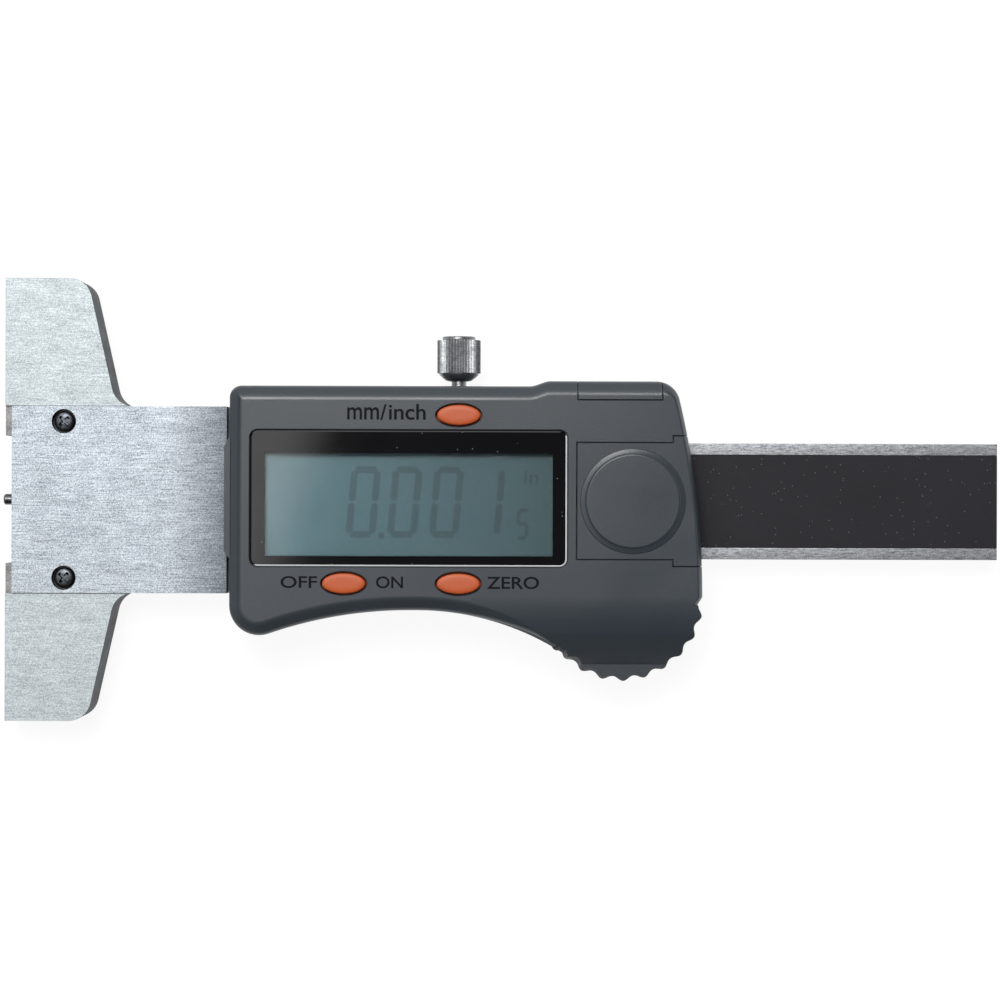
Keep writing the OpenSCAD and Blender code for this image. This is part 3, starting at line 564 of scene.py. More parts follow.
grey_abs = plastic("grey_abs", (0.031, 0.040, 0.050), (0.040, 0.050, 0.061), (0.28, 0.36), scale=5000.0,
                   depth=0.028)
orange_plastic = plastic("orange_plastic", (0.53, 0.090, 0.016), (0.58, 0.100, 0.019), (0.42, 0.52),
                         depth=0.004)
white_plastic = plastic("white_plastic", (0.66, 0.66, 0.63), (0.74, 0.74, 0.71), (0.4, 0.5))
black_epoxy = plastic("black_epoxy", (0.008, 0.008, 0.009), (0.014, 0.014, 0.015), (0.2, 0.3), scale=900.0)
elastomer = plastic("elastomer", (0.30, 0.10, 0.13), (0.38, 0.14, 0.18), (0.6, 0.7), scale=2500.0)
laminate = plastic("laminate", (0.018, 0.11, 0.045), (0.03, 0.17, 0.075), (0.3, 0.4), scale=2500.0)
ink = plastic("ink", (0.006, 0.008, 0.012), (0.010, 0.012, 0.016), (0.7, 0.8), specular=0.1)

# %% Film over the scale
film, tree, shader = finish_of("film", Specular_IOR_Level=0.2)
grain = use(tree, moulded_grain, Scale=3500.0)
dust = use(tree, dust_specks, Scale=2600.0, Share=0.10, Size=0.22)
colour = tint(tree, grain["Cloud"], (0.014, 0.0125, 0.0165), (0.022, 0.020, 0.025))
feed(tree, shader, tint(tree, dust["Speck"], colour, (0.10, 0.10, 0.10)),
     ramp(tree, grain["Grain"], 0.3, 0.7, 0.42, 0.6))
relief(tree, shader, grain["Grain"], 0.012)

# %% Printed border of the window, a painted highlight on its edge, and its clear view
border_black, tree, shader = finish_of("border_black", Specular_IOR_Level=0.58)
dust = use(tree, dust_specks, Scale=1500.0, Share=0.10, Size=0.13)
hands = use(tree, handling, Scale=60.0)
feed(tree, shader, tint(tree, dust["Speck"], (0.003, 0.0025, 0.0035), (0.16, 0.16, 0.15)),
     ramp(tree, hands["Smear"], 0, 1, 0.03, 0.07))

# Near-white on the window's lower and right chamfers: a painted highlight
painted_edge_highlight, tree, shader = finish_of("painted_edge_highlight", Roughness=0.3)
grain = use(tree, moulded_grain, Scale=2500.0)
feed(tree, shader, tint(tree, grain["Cloud"], (0.78, 0.79, 0.80), (0.92, 0.93, 0.94)))

clear_plastic, tree, shader = finish_of("clear_plastic", Transmission_Weight=1.0, IOR=1.45,
                                        Base_Color=(0.97, 0.98, 0.98, 1))
hands = use(tree, handling, Scale=60.0)
feed(tree, shader, roughness=ramp(tree, hands["Smear"], 0, 1, 0.02, 0.05))
through = node(tree, "BsdfTransparent", Color=(0.95, 0.96, 0.96, 1))
shadow = node(tree, "MixShader", _0=node(tree, "LightPath").outputs["Is Shadow Ray"],
              _1=shader, _2=through)
tree.links.new(shadow.outputs[0], tree.nodes["Material Output"].inputs["Surface"])

# %% Display glass and its segments
def display(name, left, right):
    """A display whose colour is painted lighter towards its left end: a painted reflection of the soft box.
    """
    made, tree, shader = finish_of(name, Specular_IOR_Level=0.3, Roughness=0.4)
    amount = ramp(tree, along_gauge(tree), glass_low.x * MM, glass_high.x * MM)
    grain = use(tree, moulded_grain, Scale=4000.0)
    colour = tint(tree, amount, left, right)
    speckled = node(tree, "Mix", {"data_type": "RGBA", "blend_type": "MULTIPLY"})
    tree.links.new(ramp(tree, grain["Grain"], 0.3, 0.7, 0, 0.25), speckled.inputs[0])
    tree.links.new(colour, speckled.inputs[6])
    speckled.inputs[7].default_value = (0.75, 0.8, 0.8, 1)
    feed(tree, shader, speckled.outputs[2])
    return made


display_glass = display("display_glass", (0.049, 0.114, 0.134), (0.0165, 0.045, 0.053))
segment_ink = display("segment_ink", (0.029, 0.070, 0.090), (0.011, 0.031, 0.038))
print("materials:", len(bpy.data.materials))

# %% [markdown]
# ## Finish of the CAD pieces
# Pieces whose shape is already right keep their CAD mesh and only get a finish. That is most of what lies
# inside, and the flat strips on the beam.

# %% Give every CAD node its finish
FINISHES = {
    "base": ground_steel, "slider_frame": brushed_steel, "base_screws": oxide_and_seat_shadow,
    "back_plate": lapped_steel, "back_screws": plain_steel, "gib": bronze, "gib_screws": plain_steel,
    "beam": lapped_steel, "scale_board": laminate, "scale_sticker": film, "probe_pin": hard_steel,
    "stop_screw": plain_steel, "housing": grey_abs, "display_window": border_black, "lcd": display_glass,
    "lcd_holder": white_plastic, "zebra_strip": elastomer, "circuit_board": laminate, "chip": black_epoxy,
    "board_screws": plain_steel, "button_domes": spring_steel, "button_mode": orange_plastic,
    "button_power": orange_plastic, "button_zero": orange_plastic, "battery": nickel_can,
    "battery_contact_positive": gold, "battery_contact_negative": gold, "port_contacts": gold,
    "battery_cover": grey_abs, "port_cover": grey_abs, "lock_screw": knurled_steel, "lock_pad": bronze,
}
for name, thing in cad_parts.items():
    thing.data.materials.clear()
    thing.data.materials.append(FINISHES[name])
print("finished", len(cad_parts), "CAD nodes")

# %% [markdown]
# ## Steel parts with real edges
# The base, the slider with its face plate, the back plate and the beam are machined blocks. Their CAD
# meshes are copied, merged and given a bevel of about a tenth of a millimetre. On the base and the slider
# each face then gets its finish by where it looks: only the flat faces are ground or brushed, while walls and
# edge slopes get a dark milled finish that is painted shade, and the screw seats a painted shadow.

# %% Base, slider, back plate, beam and probe
EDGE = 0.07
PLATE_EDGE = 0.11
HEAD_R = 1.38
SEAT_R = HEAD_R + 0.35
UPPER_Z = 2.0
WALL_TILT, FLAT_TILT = 0.3, 0.97
GROUND, MILLED_SHADE, SEAT_SHADOW, SAWN = range(4)
head_low, head_high = span("base_screws")
bore = ((head_low.x + head_high.x) / 2, head_high.y - (head_high.x - head_low.x) / 2)


def face_finish(node_name, face):
    """The finish of a face of the base or the slider. Walls and slopes get painted shade, screw seats painted
    shadow.
    """
    x, y, z = face.center / MM
    tilt, is_base, upper = face.normal.z, node_name == "base", z > UPPER_Z
    # The screw seats get black: a painted shadow
    if upper and not is_base and math.hypot(x - bore[0], abs(y) - bore[1]) < SEAT_R:
        return SEAT_SHADOW
    if upper and is_base and x < plate_low.x and abs(y) < plate_high.y:
        return SAWN
    wall = is_base and tilt < WALL_TILT and face.normal.x > -0.5
    return MILLED_SHADE if wall or (upper and WALL_TILT < tilt < FLAT_TILT) else GROUND


for node_name, name, finish, body, slot, width in [
        ("base", "base_block", ground_steel, "slider", "ground_steel", PLATE_EDGE),
        ("slider_frame", "slider_body", brushed_steel, "slider", "brushed_steel", PLATE_EDGE),
        ("back_plate", "back_cover", lapped_steel, "slider", "brushed_steel", EDGE),
        ("beam", "beam_bar", lapped_steel, "probe_beam", "beam_steel", EDGE),
        ("probe_pin", "probe", hard_steel, "probe_beam", "beam_steel", 0.03),
        ("battery", "button_cell", nickel_can, "slider", "cell_case", 0.15)]:
    part = shaded(bevelled(from_node(node_name, name), width))
    dressed(part, [finish, milled_steel_shade, oxide_and_seat_shadow, sawn_steel], body, slot, node_name)
    for face in part.data.polygons if node_name in ("base", "slider_frame") else []:
        face.material_index = face_finish(node_name, face)

# %% [markdown]
# ## Housing
# The housing's outline is drawn with the arcs of the construction, only finer: a straight top with a step,
# a long arc on the right, a scalloped round grip, a hollow waist and a round foot. The outline moved
# inwards gives the rings of the bevel, whose cross-section is a slope between two rounded edges.

# %% Values of the outline
BULGE = 0.7
TOP_STEP = 0.7
STEP_L = 2.8
CORNER_R = 1.6
FOOT_R = 4.0
FOOT_DROP = 3.4
WAIST_FLAT = 1.0
GRIP_R = 10.8
GRIP_RIM = 0.66
FINE_RIM = 0.10
TOOTH_H = 0.6
TOOTH_PITCH = 15.5
FIRST_TOOTH = -10.6
TEETH = 9
HEEL_R = 0.8
HEEL_OUT = 0.35
END_R = 3.2
SIDE_R = 114.0
SIDE_BEVEL = 0.38
SIDE_LIFT = 0.58
WAIST_LIFT = 1.28
WALL = 1.6

housing_x = shell_low.x + BULGE
housing_end = shell_high.x
step_y = shell_high.y
top_y = step_y - TOP_STEP
root_r = GRIP_R - TOOTH_H
grip_at = (housing_end - GRIP_R, shell_low.y + GRIP_R)
waist_y = WAIST_LIFT - grip_at[1]
window_x = (window_low.x + window_high.x) / 2
divider_x = window_high.x + 0.63
waist_x = window_x + 0.2
foot_at = (housing_x + FOOT_R, FOOT_R - waist_y - FOOT_DROP)
side_at = (housing_end - SIDE_R, grip_at[1] + SIDE_LIFT)
step_x = divider_x - 4.23
end_y = step_y - END_R
end_x = side_at[0] + math.sqrt((SIDE_R - END_R) ** 2 - (end_y - side_at[1]) ** 2)
end_a = math.degrees(math.atan2(end_y - side_at[1], end_x - side_at[0]))
print("housing from", round(housing_x, 2), "to", round(housing_end, 2), "mm")


# %% The outline and its inner copies
def hollow(dx, rise, r):
    """Radius and end angle of a hollow whose crest lies dx along and rise below a corner's centre."""
    radius = (dx * dx + rise * rise - r * r) / (2 * (r - rise))
    return radius, math.degrees(math.atan2(radius + rise, dx))


left_r, left_a = hollow(foot_at[0] - waist_x, foot_at[1] + waist_y, FOOT_R)
right_r, right_a = hollow(grip_at[0] - waist_x - WAIST_FLAT, grip_at[1] + waist_y, root_r)


def lobe_edge(d, rim):
    """The edge under the grip, inside the teeth. Its bevel narrows towards the right."""
    edge = []
    for i in range(1, 49):
        t = right_a + 180 + (178 - right_a) * i / 48
        inset = d * (1 - (1 - SIDE_BEVEL) * max(0.0, (t - 280) / 78) ** 2)
        tuck = 0.06 * min(1.0, max(0.0, (t - 217) / 4), max(0.0, (300 - t) / 30))
        inset += rim * (rim_width(t) + 0.04) * min(1.0, (358 - t) / 20) + tuck
        edge += arc(grip_at, root_r - inset, t, t, 1, 1)
    return edge


def outline(d, rim=0):
    """The housing's outline, counter-clockwise, moved inwards by d. With rim 1 it's the rim's inner line."""
    r = max(CORNER_R - d, 0.2)
    hollow_at = (waist_x + WAIST_FLAT, -waist_y - right_r)
    return (arc((housing_x + d + r, top_y - d - r), r, 90, 180, 12)
            + arc(foot_at, FOOT_R - d, 180, left_a + 180, 28)
            + arc((waist_x, -waist_y - left_r), left_r + d, left_a, 90, 30, 1)
            + [arc(hollow_at, right_r + d + rim * GRIP_RIM * max(0.0, i / 36 - 0.25) ** 1.3 * 1.45,
                   90 + (right_a - 90) * i / 36, 0, 0)[0] for i in range(37)]
            + lobe_edge(d, rim)
            + arc(side_at, SIDE_R - SIDE_BEVEL * d, 0, end_a, 24)[:-1]
            + arc((end_x + (1 - SIDE_BEVEL) * d, end_y), END_R - d, end_a, 90, 20, 1)
            + [(step_x + STEP_L / 2 + k, step_y - d) for k in (0.5, 0.25)]
            + [(step_x + STEP_L / 2 - STEP_L * k / 8,
                step_y - d - TOP_STEP * (3 * (k / 8) ** 2 - 2 * (k / 8) ** 3)) for k in range(9)]
            + [(step_x - STEP_L / 2 - k, top_y - d) for k in (0.25, 0.5)])


def rim_width(angle):
    """Width of the rim under the grip: wide on the left, where the hand pulls, and fine on the right."""
    share = min(1.0, max(0.0, (265 - angle % 360) / 25))
    return FINE_RIM + (GRIP_RIM - FINE_RIM) * share


def bend(a, b, c, n):
    """A smooth bend from a to c, drawn towards b."""
    return [tuple((1 - t) ** 2 * p + 2 * t * (1 - t) * q + t * t * r for p, q, r in zip(a, b, c))
            for t in (i / n for i in range(n + 1))]


# %% Levels of the bevel, and the line along which the grip falls
BEVEL_W = 1.5
BEVEL_H = 1.05
RIM_SLOPE = 1.1
foot_of_bevel = [(0.0, -BEVEL_H - 0.7), (0.02, -BEVEL_H), (0.50, -BEVEL_H * (1 - 0.50 / BEVEL_W))]
top_of_bevel = [(1.1, -BEVEL_H * (1 - 1.1 / BEVEL_W)), (BEVEL_W, 0.0), (2.0, 0.0)]
bevel = bend(*foot_of_bevel, 9) + bend(*top_of_bevel, 12)
channel_z = beam_high.z + FINE
levels = [(0.0, -channel_z)] + [(d, face_z + z) for d, z in bevel]

FALL_Y = grip_at[1] - 0.12
LEDGE_Y = -21.95
LEDGE_Z = channel_z + 5.0
CREASE_Y = -17.8
CREASE_DROP = 0.85
fall_line = (bend((FALL_Y + 0.8, face_z), (FALL_Y - 2.1, face_z), (CREASE_Y, face_z - CREASE_DROP), 12)
             + bend((CREASE_Y, face_z - CREASE_DROP), (CREASE_Y - 2.2, face_z - CREASE_DROP - 1.20),
                    (LEDGE_Y, LEDGE_Z), 10)[1:])


def fall_height(y):
    """Height of the grip's falling face at y."""
    for (y0, z0), (y1, z1) in zip(fall_line, fall_line[1:]):
        if y1 <= y <= y0:
            return z0 + (z1 - z0) * (y - y0) / (y1 - y0)
    return face_z if y > FALL_Y else LEDGE_Z


# %% The bevelled outer form
def outer_form(name):
    """The whole form as a loft: straight walls, the rim of the grip, then the bevel."""
    rim_top = levels[1][1] - 0.02
    foot, head = [at_height(outline(0), -channel_z)], [[], []]
    for outer, inner in zip(outline(0), outline(0, 1)):
        z = min(rim_top, fall_height(inner[1]))
        head[0].append((*outer, z - RIM_SLOPE * math.dist(outer, inner) - 0.02))
        head[1].append((*inner, z))
    return loft(name, foot + head + [at_height(outline(d, 1), z) for d, z in levels[1:]])


# %% [markdown]
# The grip is a round lobe with nine teeth. A tooth is one wave of a raised cosine, which gives round tips
# and wide hollows. A sloping rim runs round them, wide on the left and fine on the right, and a last shallow
# tooth, the heel, stands alone on the left. The upper face falls away from the display in two stages, with a
# faint crease between them, down to a narrow ledge. The fall fades in from the left.


# %% Grip with its teeth
def tooth_radius(angle):
    """Radius of the grip at an angle in degrees: one raised cosine for each tooth."""
    phase = (FIRST_TOOTH - angle) / TOOTH_PITCH
    wave = (1 + math.cos(2 * math.pi * phase)) / 2
    return root_r + TOOTH_H * wave ** 1.15


def grip_lobe():
    start = FIRST_TOOTH + TOOTH_PITCH / 2
    count = TEETH * 16
    teeth = [start - TEETH * TOOTH_PITCH * i / count for i in range(count + 1)]
    heel_at = FIRST_TOOTH - TOOTH_PITCH * (TEETH - 1) - 11
    heel = arc(grip_at, GRIP_R + HEEL_OUT - HEEL_R, heel_at, heel_at, 1, 1)[0]

    def rim(height, share):
        """The toothed edge, pulled in by a share of the rim. height gives z from y and the rim's width."""
        edge = []
        for a in reversed(teeth):
            x, y = arc(grip_at, tooth_radius(a) - share * rim_width(a), a, a, 1, 1)[0]
            edge.append((x, y, height(y, rim_width(a))))
        return edge + [(grip_at[0], grip_at[1] - 1.0, height(LEDGE_Y, 0))]

    lobe = loft("grip", [rim(lambda y, w: -channel_z, 0), rim(lambda y, w: fall_height(y) - RIM_SLOPE * w, 0),
                         rim(lambda y, w: fall_height(y) + 0.02, 1), rim(lambda y, w: face_z, 1)])
    top = fall_height(heel[1])
    return lobe, stack("heel", lambda r: circle(r, 32, *heel), [
        (HEEL_R, -channel_z), (HEEL_R, top - RIM_SLOPE * GRIP_RIM), (HEEL_R - GRIP_RIM, top)])


FADE_X = step_x - 9.0
FADE_L = 7.0
FADE_H = 3.0


def grip_fall():
    """What the falling face takes off the grip, drawn across and pushed along X, with a rising left end."""
    low_y = shell_low.y - 3
    side = fall_line + [(low_y, LEDGE_Z), (low_y, face_z + PAST), (FALL_Y + 0.8, face_z + PAST)]
    rings = [[(FADE_X - FADE_L * left, y, z + FADE_H * left ** 2) for y, z in side]
             for left in (1 - i / 12 for i in range(13))]
    return loft("fall", rings + [[(housing_end + PAST, y, z) for y, z in side]])


housing = outer_form("housing_shell")
for grip_part in grip_lobe():
    combine(housing, grip_part, "UNION")
combine(housing, grip_fall())
print("outer form:", len(housing.data.polygons), "faces")

# %% [markdown]
# The openings are cut one after another. Each cutter for a visible opening is flared at its top, so it
# leaves a small chamfer along the edge, as the mould does. Inside, the cuts follow the construction: a room
# for the board and the display, the bay of the battery, the slider's channel and slots that hollow the grip.

# %% Values of the openings
CHAMFER = 0.10
COVER_CHAMFER = 0.06
PART_GAP = 0.1
TONGUE_L = 0.6
PORT_SLOT_H = 3.4
CONTACT_Y = (-4.8, -1.6)
CORE_W = 2.4
CORE_PITCH = 3.6
roof_z = face_z - WALL
rebate_z = window_low.z - FINE
cavity = ((housing_x + WALL, WALL - waist_y), (divider_x, top_y - WALL))
bay_x = divider_x + 1.0
battery_mid = (cell_low.x + cell_high.x) / 2
bay_r = (cell_high.y - cell_low.y) / 2 + 0.25
bay_floor = channel_z + 1.6
cover_z = face_z - 1.2
cover_y = bay_r + 1.7
cover_end_y = cover_y + 0.9
cover_x = lid_low.x
jog_x = housing_end - 4.0
rail_y = back_high.y
frame_end = plate_high.x
screw_x = (housing_x + WALL + 3.0, divider_x - 5.6)
screw_y = rail_y - 1.75
screw_at = [(x, side * screw_y) for x in screw_x for side in (-1, 1)]
board_z = board_low.z
port_mid = (port_low.x + port_high.x) / 2
port_y = port_low.y
port_wall_y = step_y - 1.35
port_seat_z = port_low.z - PART_GAP
port_slot = (port_high.x - port_low.x) / 2 - 1.3
lock_x = (knob_low.x + knob_high.x) / 2
gib_screw_x = (screw_x[0] + 15, screw_x[1] + 2.47)
print("battery cover from", round(cover_x, 2), "and port at", round(port_mid, 2), "mm")


# %% Cutters
def flared(name, outline_at, z0, chamfer=CHAMFER):
    """A cutter whose outline grows by a chamfer where it leaves the face. outline_at takes the growth."""
    top, grown_by = face_z - chamfer, chamfer * 1.2
    return stack(name, outline_at, [(0, z0), (0, top), (grown_by, top + grown_by), (grown_by, face_z + PAST)])


def window_outline(d):
    return round_rect(window_low.x - PART_GAP - d, window_high.x + PART_GAP + d,
                      window_low.y - PART_GAP - d, window_high.y + PART_GAP + d, 1.1 + d)


VIEW = (glass_low.x + 0.8, glass_high.x - 0.8, glass_low.y + 0.9, glass_high.y - 0.9)
BUTTONS = {"mode": "button_mode", "power": "button_power", "zero": "button_zero"}
BUTTON_A, BUTTON_B = 2.85, 1.325
BUTTON_GAP = 0.23
cutters = [flared("cut", window_outline, rebate_z),
           block("cut", (VIEW[0] - PART_GAP, VIEW[2] - PART_GAP, roof_z - PAST),
                 (VIEW[1] + PART_GAP, VIEW[3] + PART_GAP, face_z))]
for node_name in BUTTONS.values():
    low, high = span(node_name)
    middle = (low + high) / 2

    def button_hole(d, at=middle):
        return oval(BUTTON_A + BUTTON_GAP + d, BUTTON_B + BUTTON_GAP + d, at.x, at.y)

    cutters.append(flared("cut", button_hole, roof_z - PAST))

# %% Room inside, with the four screw bosses left standing
SCREW_BOSS_R, PILOT_R, SIDE_HOLE_R = 1.82, 0.82, 1.3
room = block("cut", (*cavity[0], channel_z), (*cavity[1], roof_z))
tongue_low = cover_end_y + 0.55
combine(room, block("cut", (divider_x - PAST, tongue_low, channel_z),
                    (housing_end - 5.2, cavity[1][1], roof_z)), "UNION")
for x, y in screw_at:
    combine(room, slab("boss", circle(SCREW_BOSS_R, 40, x, y), channel_z - PAST, roof_z + PAST))
cutters.append(room)

# %% Channel, bay, slots of the contacts, cover opening, port and grip slots
past_end = housing_end + PAST
cutters += [
    bar("cut", housing_x - 2, frame_end + PART_GAP, rail_y + PART_GAP, -channel_z - PAST, channel_z),
    bar("cut", housing_x - 2, cavity[0][0] + PAST, rail_y + PART_GAP, 0, board_z + PART_GAP),
    bar("cut", frame_end - 2.6, frame_end + PART_GAP, tongue_low + PART_GAP, 0, channel_z + 0.9),
    bar("cut", frame_end, past_end, beam_high.y + 0.2, -channel_z - PAST, beam_high.z + 0.3),
    slab("cut", circle(bay_r, 96, battery_mid), bay_floor, face_z),
    bar("cut", divider_x - PAST, bay_x + 1.4, 1.8, board_high.z - 0.1, cover_z),
    block("cut", (divider_x - PAST, CONTACT_Y[0], board_high.z - 0.1),
          (bay_x + 0.2, CONTACT_Y[1], bay_floor + 0.4)),
    block("cut", (divider_x - PAST, CONTACT_Y[0], bay_floor), (battery_mid, CONTACT_Y[1], bay_floor + 0.4)),
    bar("cut", cover_x - PART_GAP, past_end, cover_y + TONGUE_L + PART_GAP, cover_z - FINE, cover_z + 0.6)]
for x0, y in ((cover_x, cover_y), (jog_x, cover_end_y)):
    def cover_edge(d, x0=x0, y=y):
        x1, y1 = x0 - PART_GAP - d, y + PART_GAP + d
        return [(x1, -y1), (past_end, -y1), (past_end, y1), (x1, y1)]

    cutters.append(flared("cut", cover_edge, cover_z - FINE, COVER_CHAMFER))
flap_room = bar("cut", jog_x + 1, past_end, cover_end_y + PART_GAP, 5.9, face_z)
combine(flap_room, slab("cut", outline(1.3), 0, face_z + PAST))
cutters.append(flap_room)


def port_edge(d):
    x0, x1, y0 = port_low.x - PART_GAP - d, port_high.x + PART_GAP + d, port_y - PART_GAP - d
    return [(x0, y0), (x1, y0), (x1, step_y + PAST), (x0, step_y + PAST)]


cutters += [flared("cut", port_edge, rebate_z, COVER_CHAMFER),
            block("cut", (port_low.x - PART_GAP, port_wall_y, port_seat_z),
                  (port_high.x + PART_GAP, step_y + PAST, face_z + PAST)),
            block("cut", (port_mid - port_slot, port_wall_y - 2, board_z + 0.1),
                  (port_mid + port_slot, step_y + PAST, board_z + 3.5))]
for k in range(-2, 3):
    x = grip_at[0] + k * CORE_PITCH
    slot = block("cut", (x - CORE_W / 2, FALL_Y - GRIP_R, -channel_z - PAST),
                 (x + CORE_W / 2, FALL_Y - 0.6, LEDGE_Z - 1.8))
    cutters.append(combine(slot, slab("core", circle(root_r - WALL, 72, *grip_at), -5, face_z), "INTERSECT"))
for x, y in screw_at:
    cutters.append(slab("cut", circle(PILOT_R, 32, x, y), -5, board_z + PORT_SLOT_H))
for x in (lock_x, *gib_screw_x):
    hole = slab("cut", circle(SIDE_HOLE_R, 40), 0, rail_y)
    cutters.append(place(hole, (x, rail_y, 0), (-math.pi / 2, 0, 0)))
for cutter in cutters:
    combine(housing, cutter)
print("cuts:", len(cutters), "- faces:", len(housing.data.polygons))

# %% The bulge over the face plate, and the finish
bulge = slab("bulge", [(housing_x + 1, 8.5), (housing_x, 8.5), (housing_x - BULGE + 0.15, 7.5),
                       (housing_x - BULGE, 7.1), (housing_x - BULGE, -6.6), (housing_x - BULGE + 0.15, -7.0),
                       (housing_x, -7.8), (housing_x + 1, -7.8)], board_z + PART_GAP, face_z - BEVEL_H - 0.2)
combine(housing, bulge, "UNION")
shaded(housing, 30)
dressed(housing, grey_abs, "slider", "grey_abs", "housing")

# %% [markdown]
# ## Battery cover and port cover
# Both covers continue the housing's bevel, so they're cut out of the same outer form: the form is
# intersected with blocks that have a fine chamfer along their upper edges. The battery cover carries a
# round boss in two shallow steps, with a soft edge to each.


# %% Covers
LID_EDGE = 0.07


def chamfered(name, x0, x1, y0, y1, z0):
    """A block whose upper edges are chamfered where they meet the face."""
    def edge(d):
        return [(x0 + d, y0 + d), (x1 - d, y0 + d), (x1 - d, y1 - d), (x0 + d, y1 - d)]

    inset = LID_EDGE * 1.3
    return stack(name, edge, [(0, z0), (0, face_z - LID_EDGE), (inset, face_z + LID_EDGE * 0.3),
                              (inset, face_z + PAST)])


lid = outer_form("battery_lid")
parts = chamfered("lid", cover_x, past_end, -cover_y, cover_y, cover_z)
combine(parts, chamfered("lid", jog_x, past_end, -cover_end_y, cover_end_y, cover_z), "UNION")
combine(parts, bar("tongue", cover_x, jog_x + 1, cover_y + TONGUE_L, cover_z, cover_z + 0.55), "UNION")
flap = bar("flap", jog_x + 1, past_end, cover_end_y, 6.0, cover_z + 0.3)
combine(flap, slab("inside", outline(1.2), 0, cover_z))
combine(parts, flap, "UNION")
combine(lid, parts, "INTERSECT")

BOSS = [(7.05, -0.05), (7.05, 0.03), (6.99, 0.09), (6.88, 0.12), (6.42, 0.20), (6.35, 0.23), (6.27, 0.31),
        (6.17, 0.37), (6.05, 0.385), (0.6, 0.42)]
boss = lathe("boss", [(r, face_z + z) for r, z in BOSS], 128)
place(boss, (battery_mid, 0, 0))
combine(lid, boss, "UNION")
shaded(lid, 30)
dressed(lid, grey_abs, "cell_cover", "grey_abs", "battery_cover")

port_lid = outer_form("port_lid")
parts = chamfered("port", port_low.x, port_high.x, port_y, step_y + PAST, port_low.z)
combine(parts, block("inside", (port_low.x - 1, port_y - 1, 0),
                     (port_high.x + 1, port_wall_y + FINE, window_low.z)))
combine(port_lid, parts, "INTERSECT")
lug = block("lug", (port_mid - port_slot + PART_GAP, port_wall_y - 1.1, board_high.z + 0.2),
            (port_mid + port_slot - PART_GAP, port_wall_y + 0.2, board_z + PORT_SLOT_H))
combine(port_lid, lug, "UNION")
shaded(port_lid, 30)
dressed(port_lid, grey_abs, "data_cover", "grey_abs", "port_cover")

# %% [markdown]
# ## Window and display
# The real window is one clear plate, printed black on its back round the view. It's made here as a black
# ring with a glossy surface and a clear plate in its middle, because light then reaches the display in
# fewer bounces. The display keeps its CAD mesh; its segments are thin dark bars on top of it.


# %% Window
def ring_outline(d):
    return round_rect(window_low.x + d, window_high.x - d, window_low.y + d, window_high.y - d, 1.0 - d)


top = window_high.z
border = stack("window_border", ring_outline,
               [(0, window_low.z), (0, top - 0.12), (0.05, top - 0.05), (0.20, top)])
combine(border, block("cut", (VIEW[0], VIEW[2], roof_z), (VIEW[1], VIEW[3], face_z)))
shaded(border, 12)
dressed(border, [border_black, painted_edge_highlight], "slider", "window", "display_window")
# The chamfer faces that look down and to the right carry the painted highlight
for face in border.data.polygons:
    if 0.1 < face.normal.z < 0.97 and face.normal.x - face.normal.y > 0.2:
        face.material_index = 1

clear = block("window_view", (VIEW[0], VIEW[2], window_low.z), (VIEW[1], VIEW[3], top))
shaded(clear)
dressed(clear, clear_plastic, "slider", "window", "display_window")

# %% [markdown]
# A seven-segment digit is the same hexagonal bar seven times over. Geometry Nodes puts one bar on each
# point of a small mesh, whose attributes hold the bar's turn and size. The digits lean by five degrees,
# so the upright bars are turned by that much.

# %% A bar on every point
def socket_of(tree, name):
    return next(s.identifier for s in tree.interface.items_tree if s.name == name and s.in_out == "INPUT")


def geometry_tree(name, inputs):
    """A Geometry Nodes group with a geometry in and out, and its named inputs."""
    made = bpy.data.node_groups.new(name, "GeometryNodeTree")
    made.interface.new_socket("Geometry", in_out="INPUT", socket_type="NodeSocketGeometry")
    made.interface.new_socket("Geometry", in_out="OUTPUT", socket_type="NodeSocketGeometry")
    for label, kind, value in inputs:
        socket = made.interface.new_socket(label, in_out="INPUT", socket_type="NodeSocket" + kind)
        if value is not None:
            socket.default_value = value
    return made, made.nodes.new("NodeGroupInput"), made.nodes.new("NodeGroupOutput")


def geo(tree, kind, settings=None, **inputs):
    """Adds a geometry node; inputs as in node()."""
    return node(tree, kind, settings, "Geometry", **inputs)


def grown(thing, tree, **values):
    """Runs a tree on an object and keeps the result as its plain mesh."""
    step = thing.modifiers.new("Nodes", "NODES")
    step.node_group = tree
    for key, value in values.items():
        step[socket_of(tree, key.replace("_", " "))] = value
    return bake(thing)


bars, ends, out = geometry_tree("segment_bars", [("Bar", "Object", None), ("Ink", "Material", None)])
shape = geo(bars, "ObjectInfo", Object=ends.outputs["Bar"], As_Instance=True)
turn = geo(bars, "InputNamedAttribute", {"data_type": "FLOAT_VECTOR"}, Name="turn")
size = geo(bars, "InputNamedAttribute", {"data_type": "FLOAT_VECTOR"}, Name="size")
put = geo(bars, "InstanceOnPoints", Points=ends.outputs["Geometry"],
          Instance=shape.outputs["Geometry"], Rotation=turn, Scale=size)
real = geo(bars, "RealizeInstances", Geometry=put)
inked = geo(bars, "SetMaterial", Geometry=real, Material=ends.outputs["Ink"])
bars.links.new(inked.outputs[0], out.inputs[0])


def points_with(name, rows):
    """A mesh of loose points in millimetres; each row is a place, a turn about Z and a size."""
    mesh = bpy.data.meshes.new(name)
    mesh.from_pydata([Vector(at) * MM for at, _, _ in rows], [], [])
    turns = mesh.attributes.new("turn", "FLOAT_VECTOR", "POINT")
    sizes = mesh.attributes.new("size", "FLOAT_VECTOR", "POINT")
    for i, (_, angle, size_of) in enumerate(rows):
        turns.data[i].vector = (0, 0, angle)
        sizes.data[i].vector = size_of
    return linked(name, mesh)


# %% Digits
SEGMENTS = {"0": "abcdef", "1": "bc", "5": "acdfg"}
LEAN = math.tan(math.radians(5))
DISPLAY_Z = glass_high.z
BAR_LIFT = 0.012


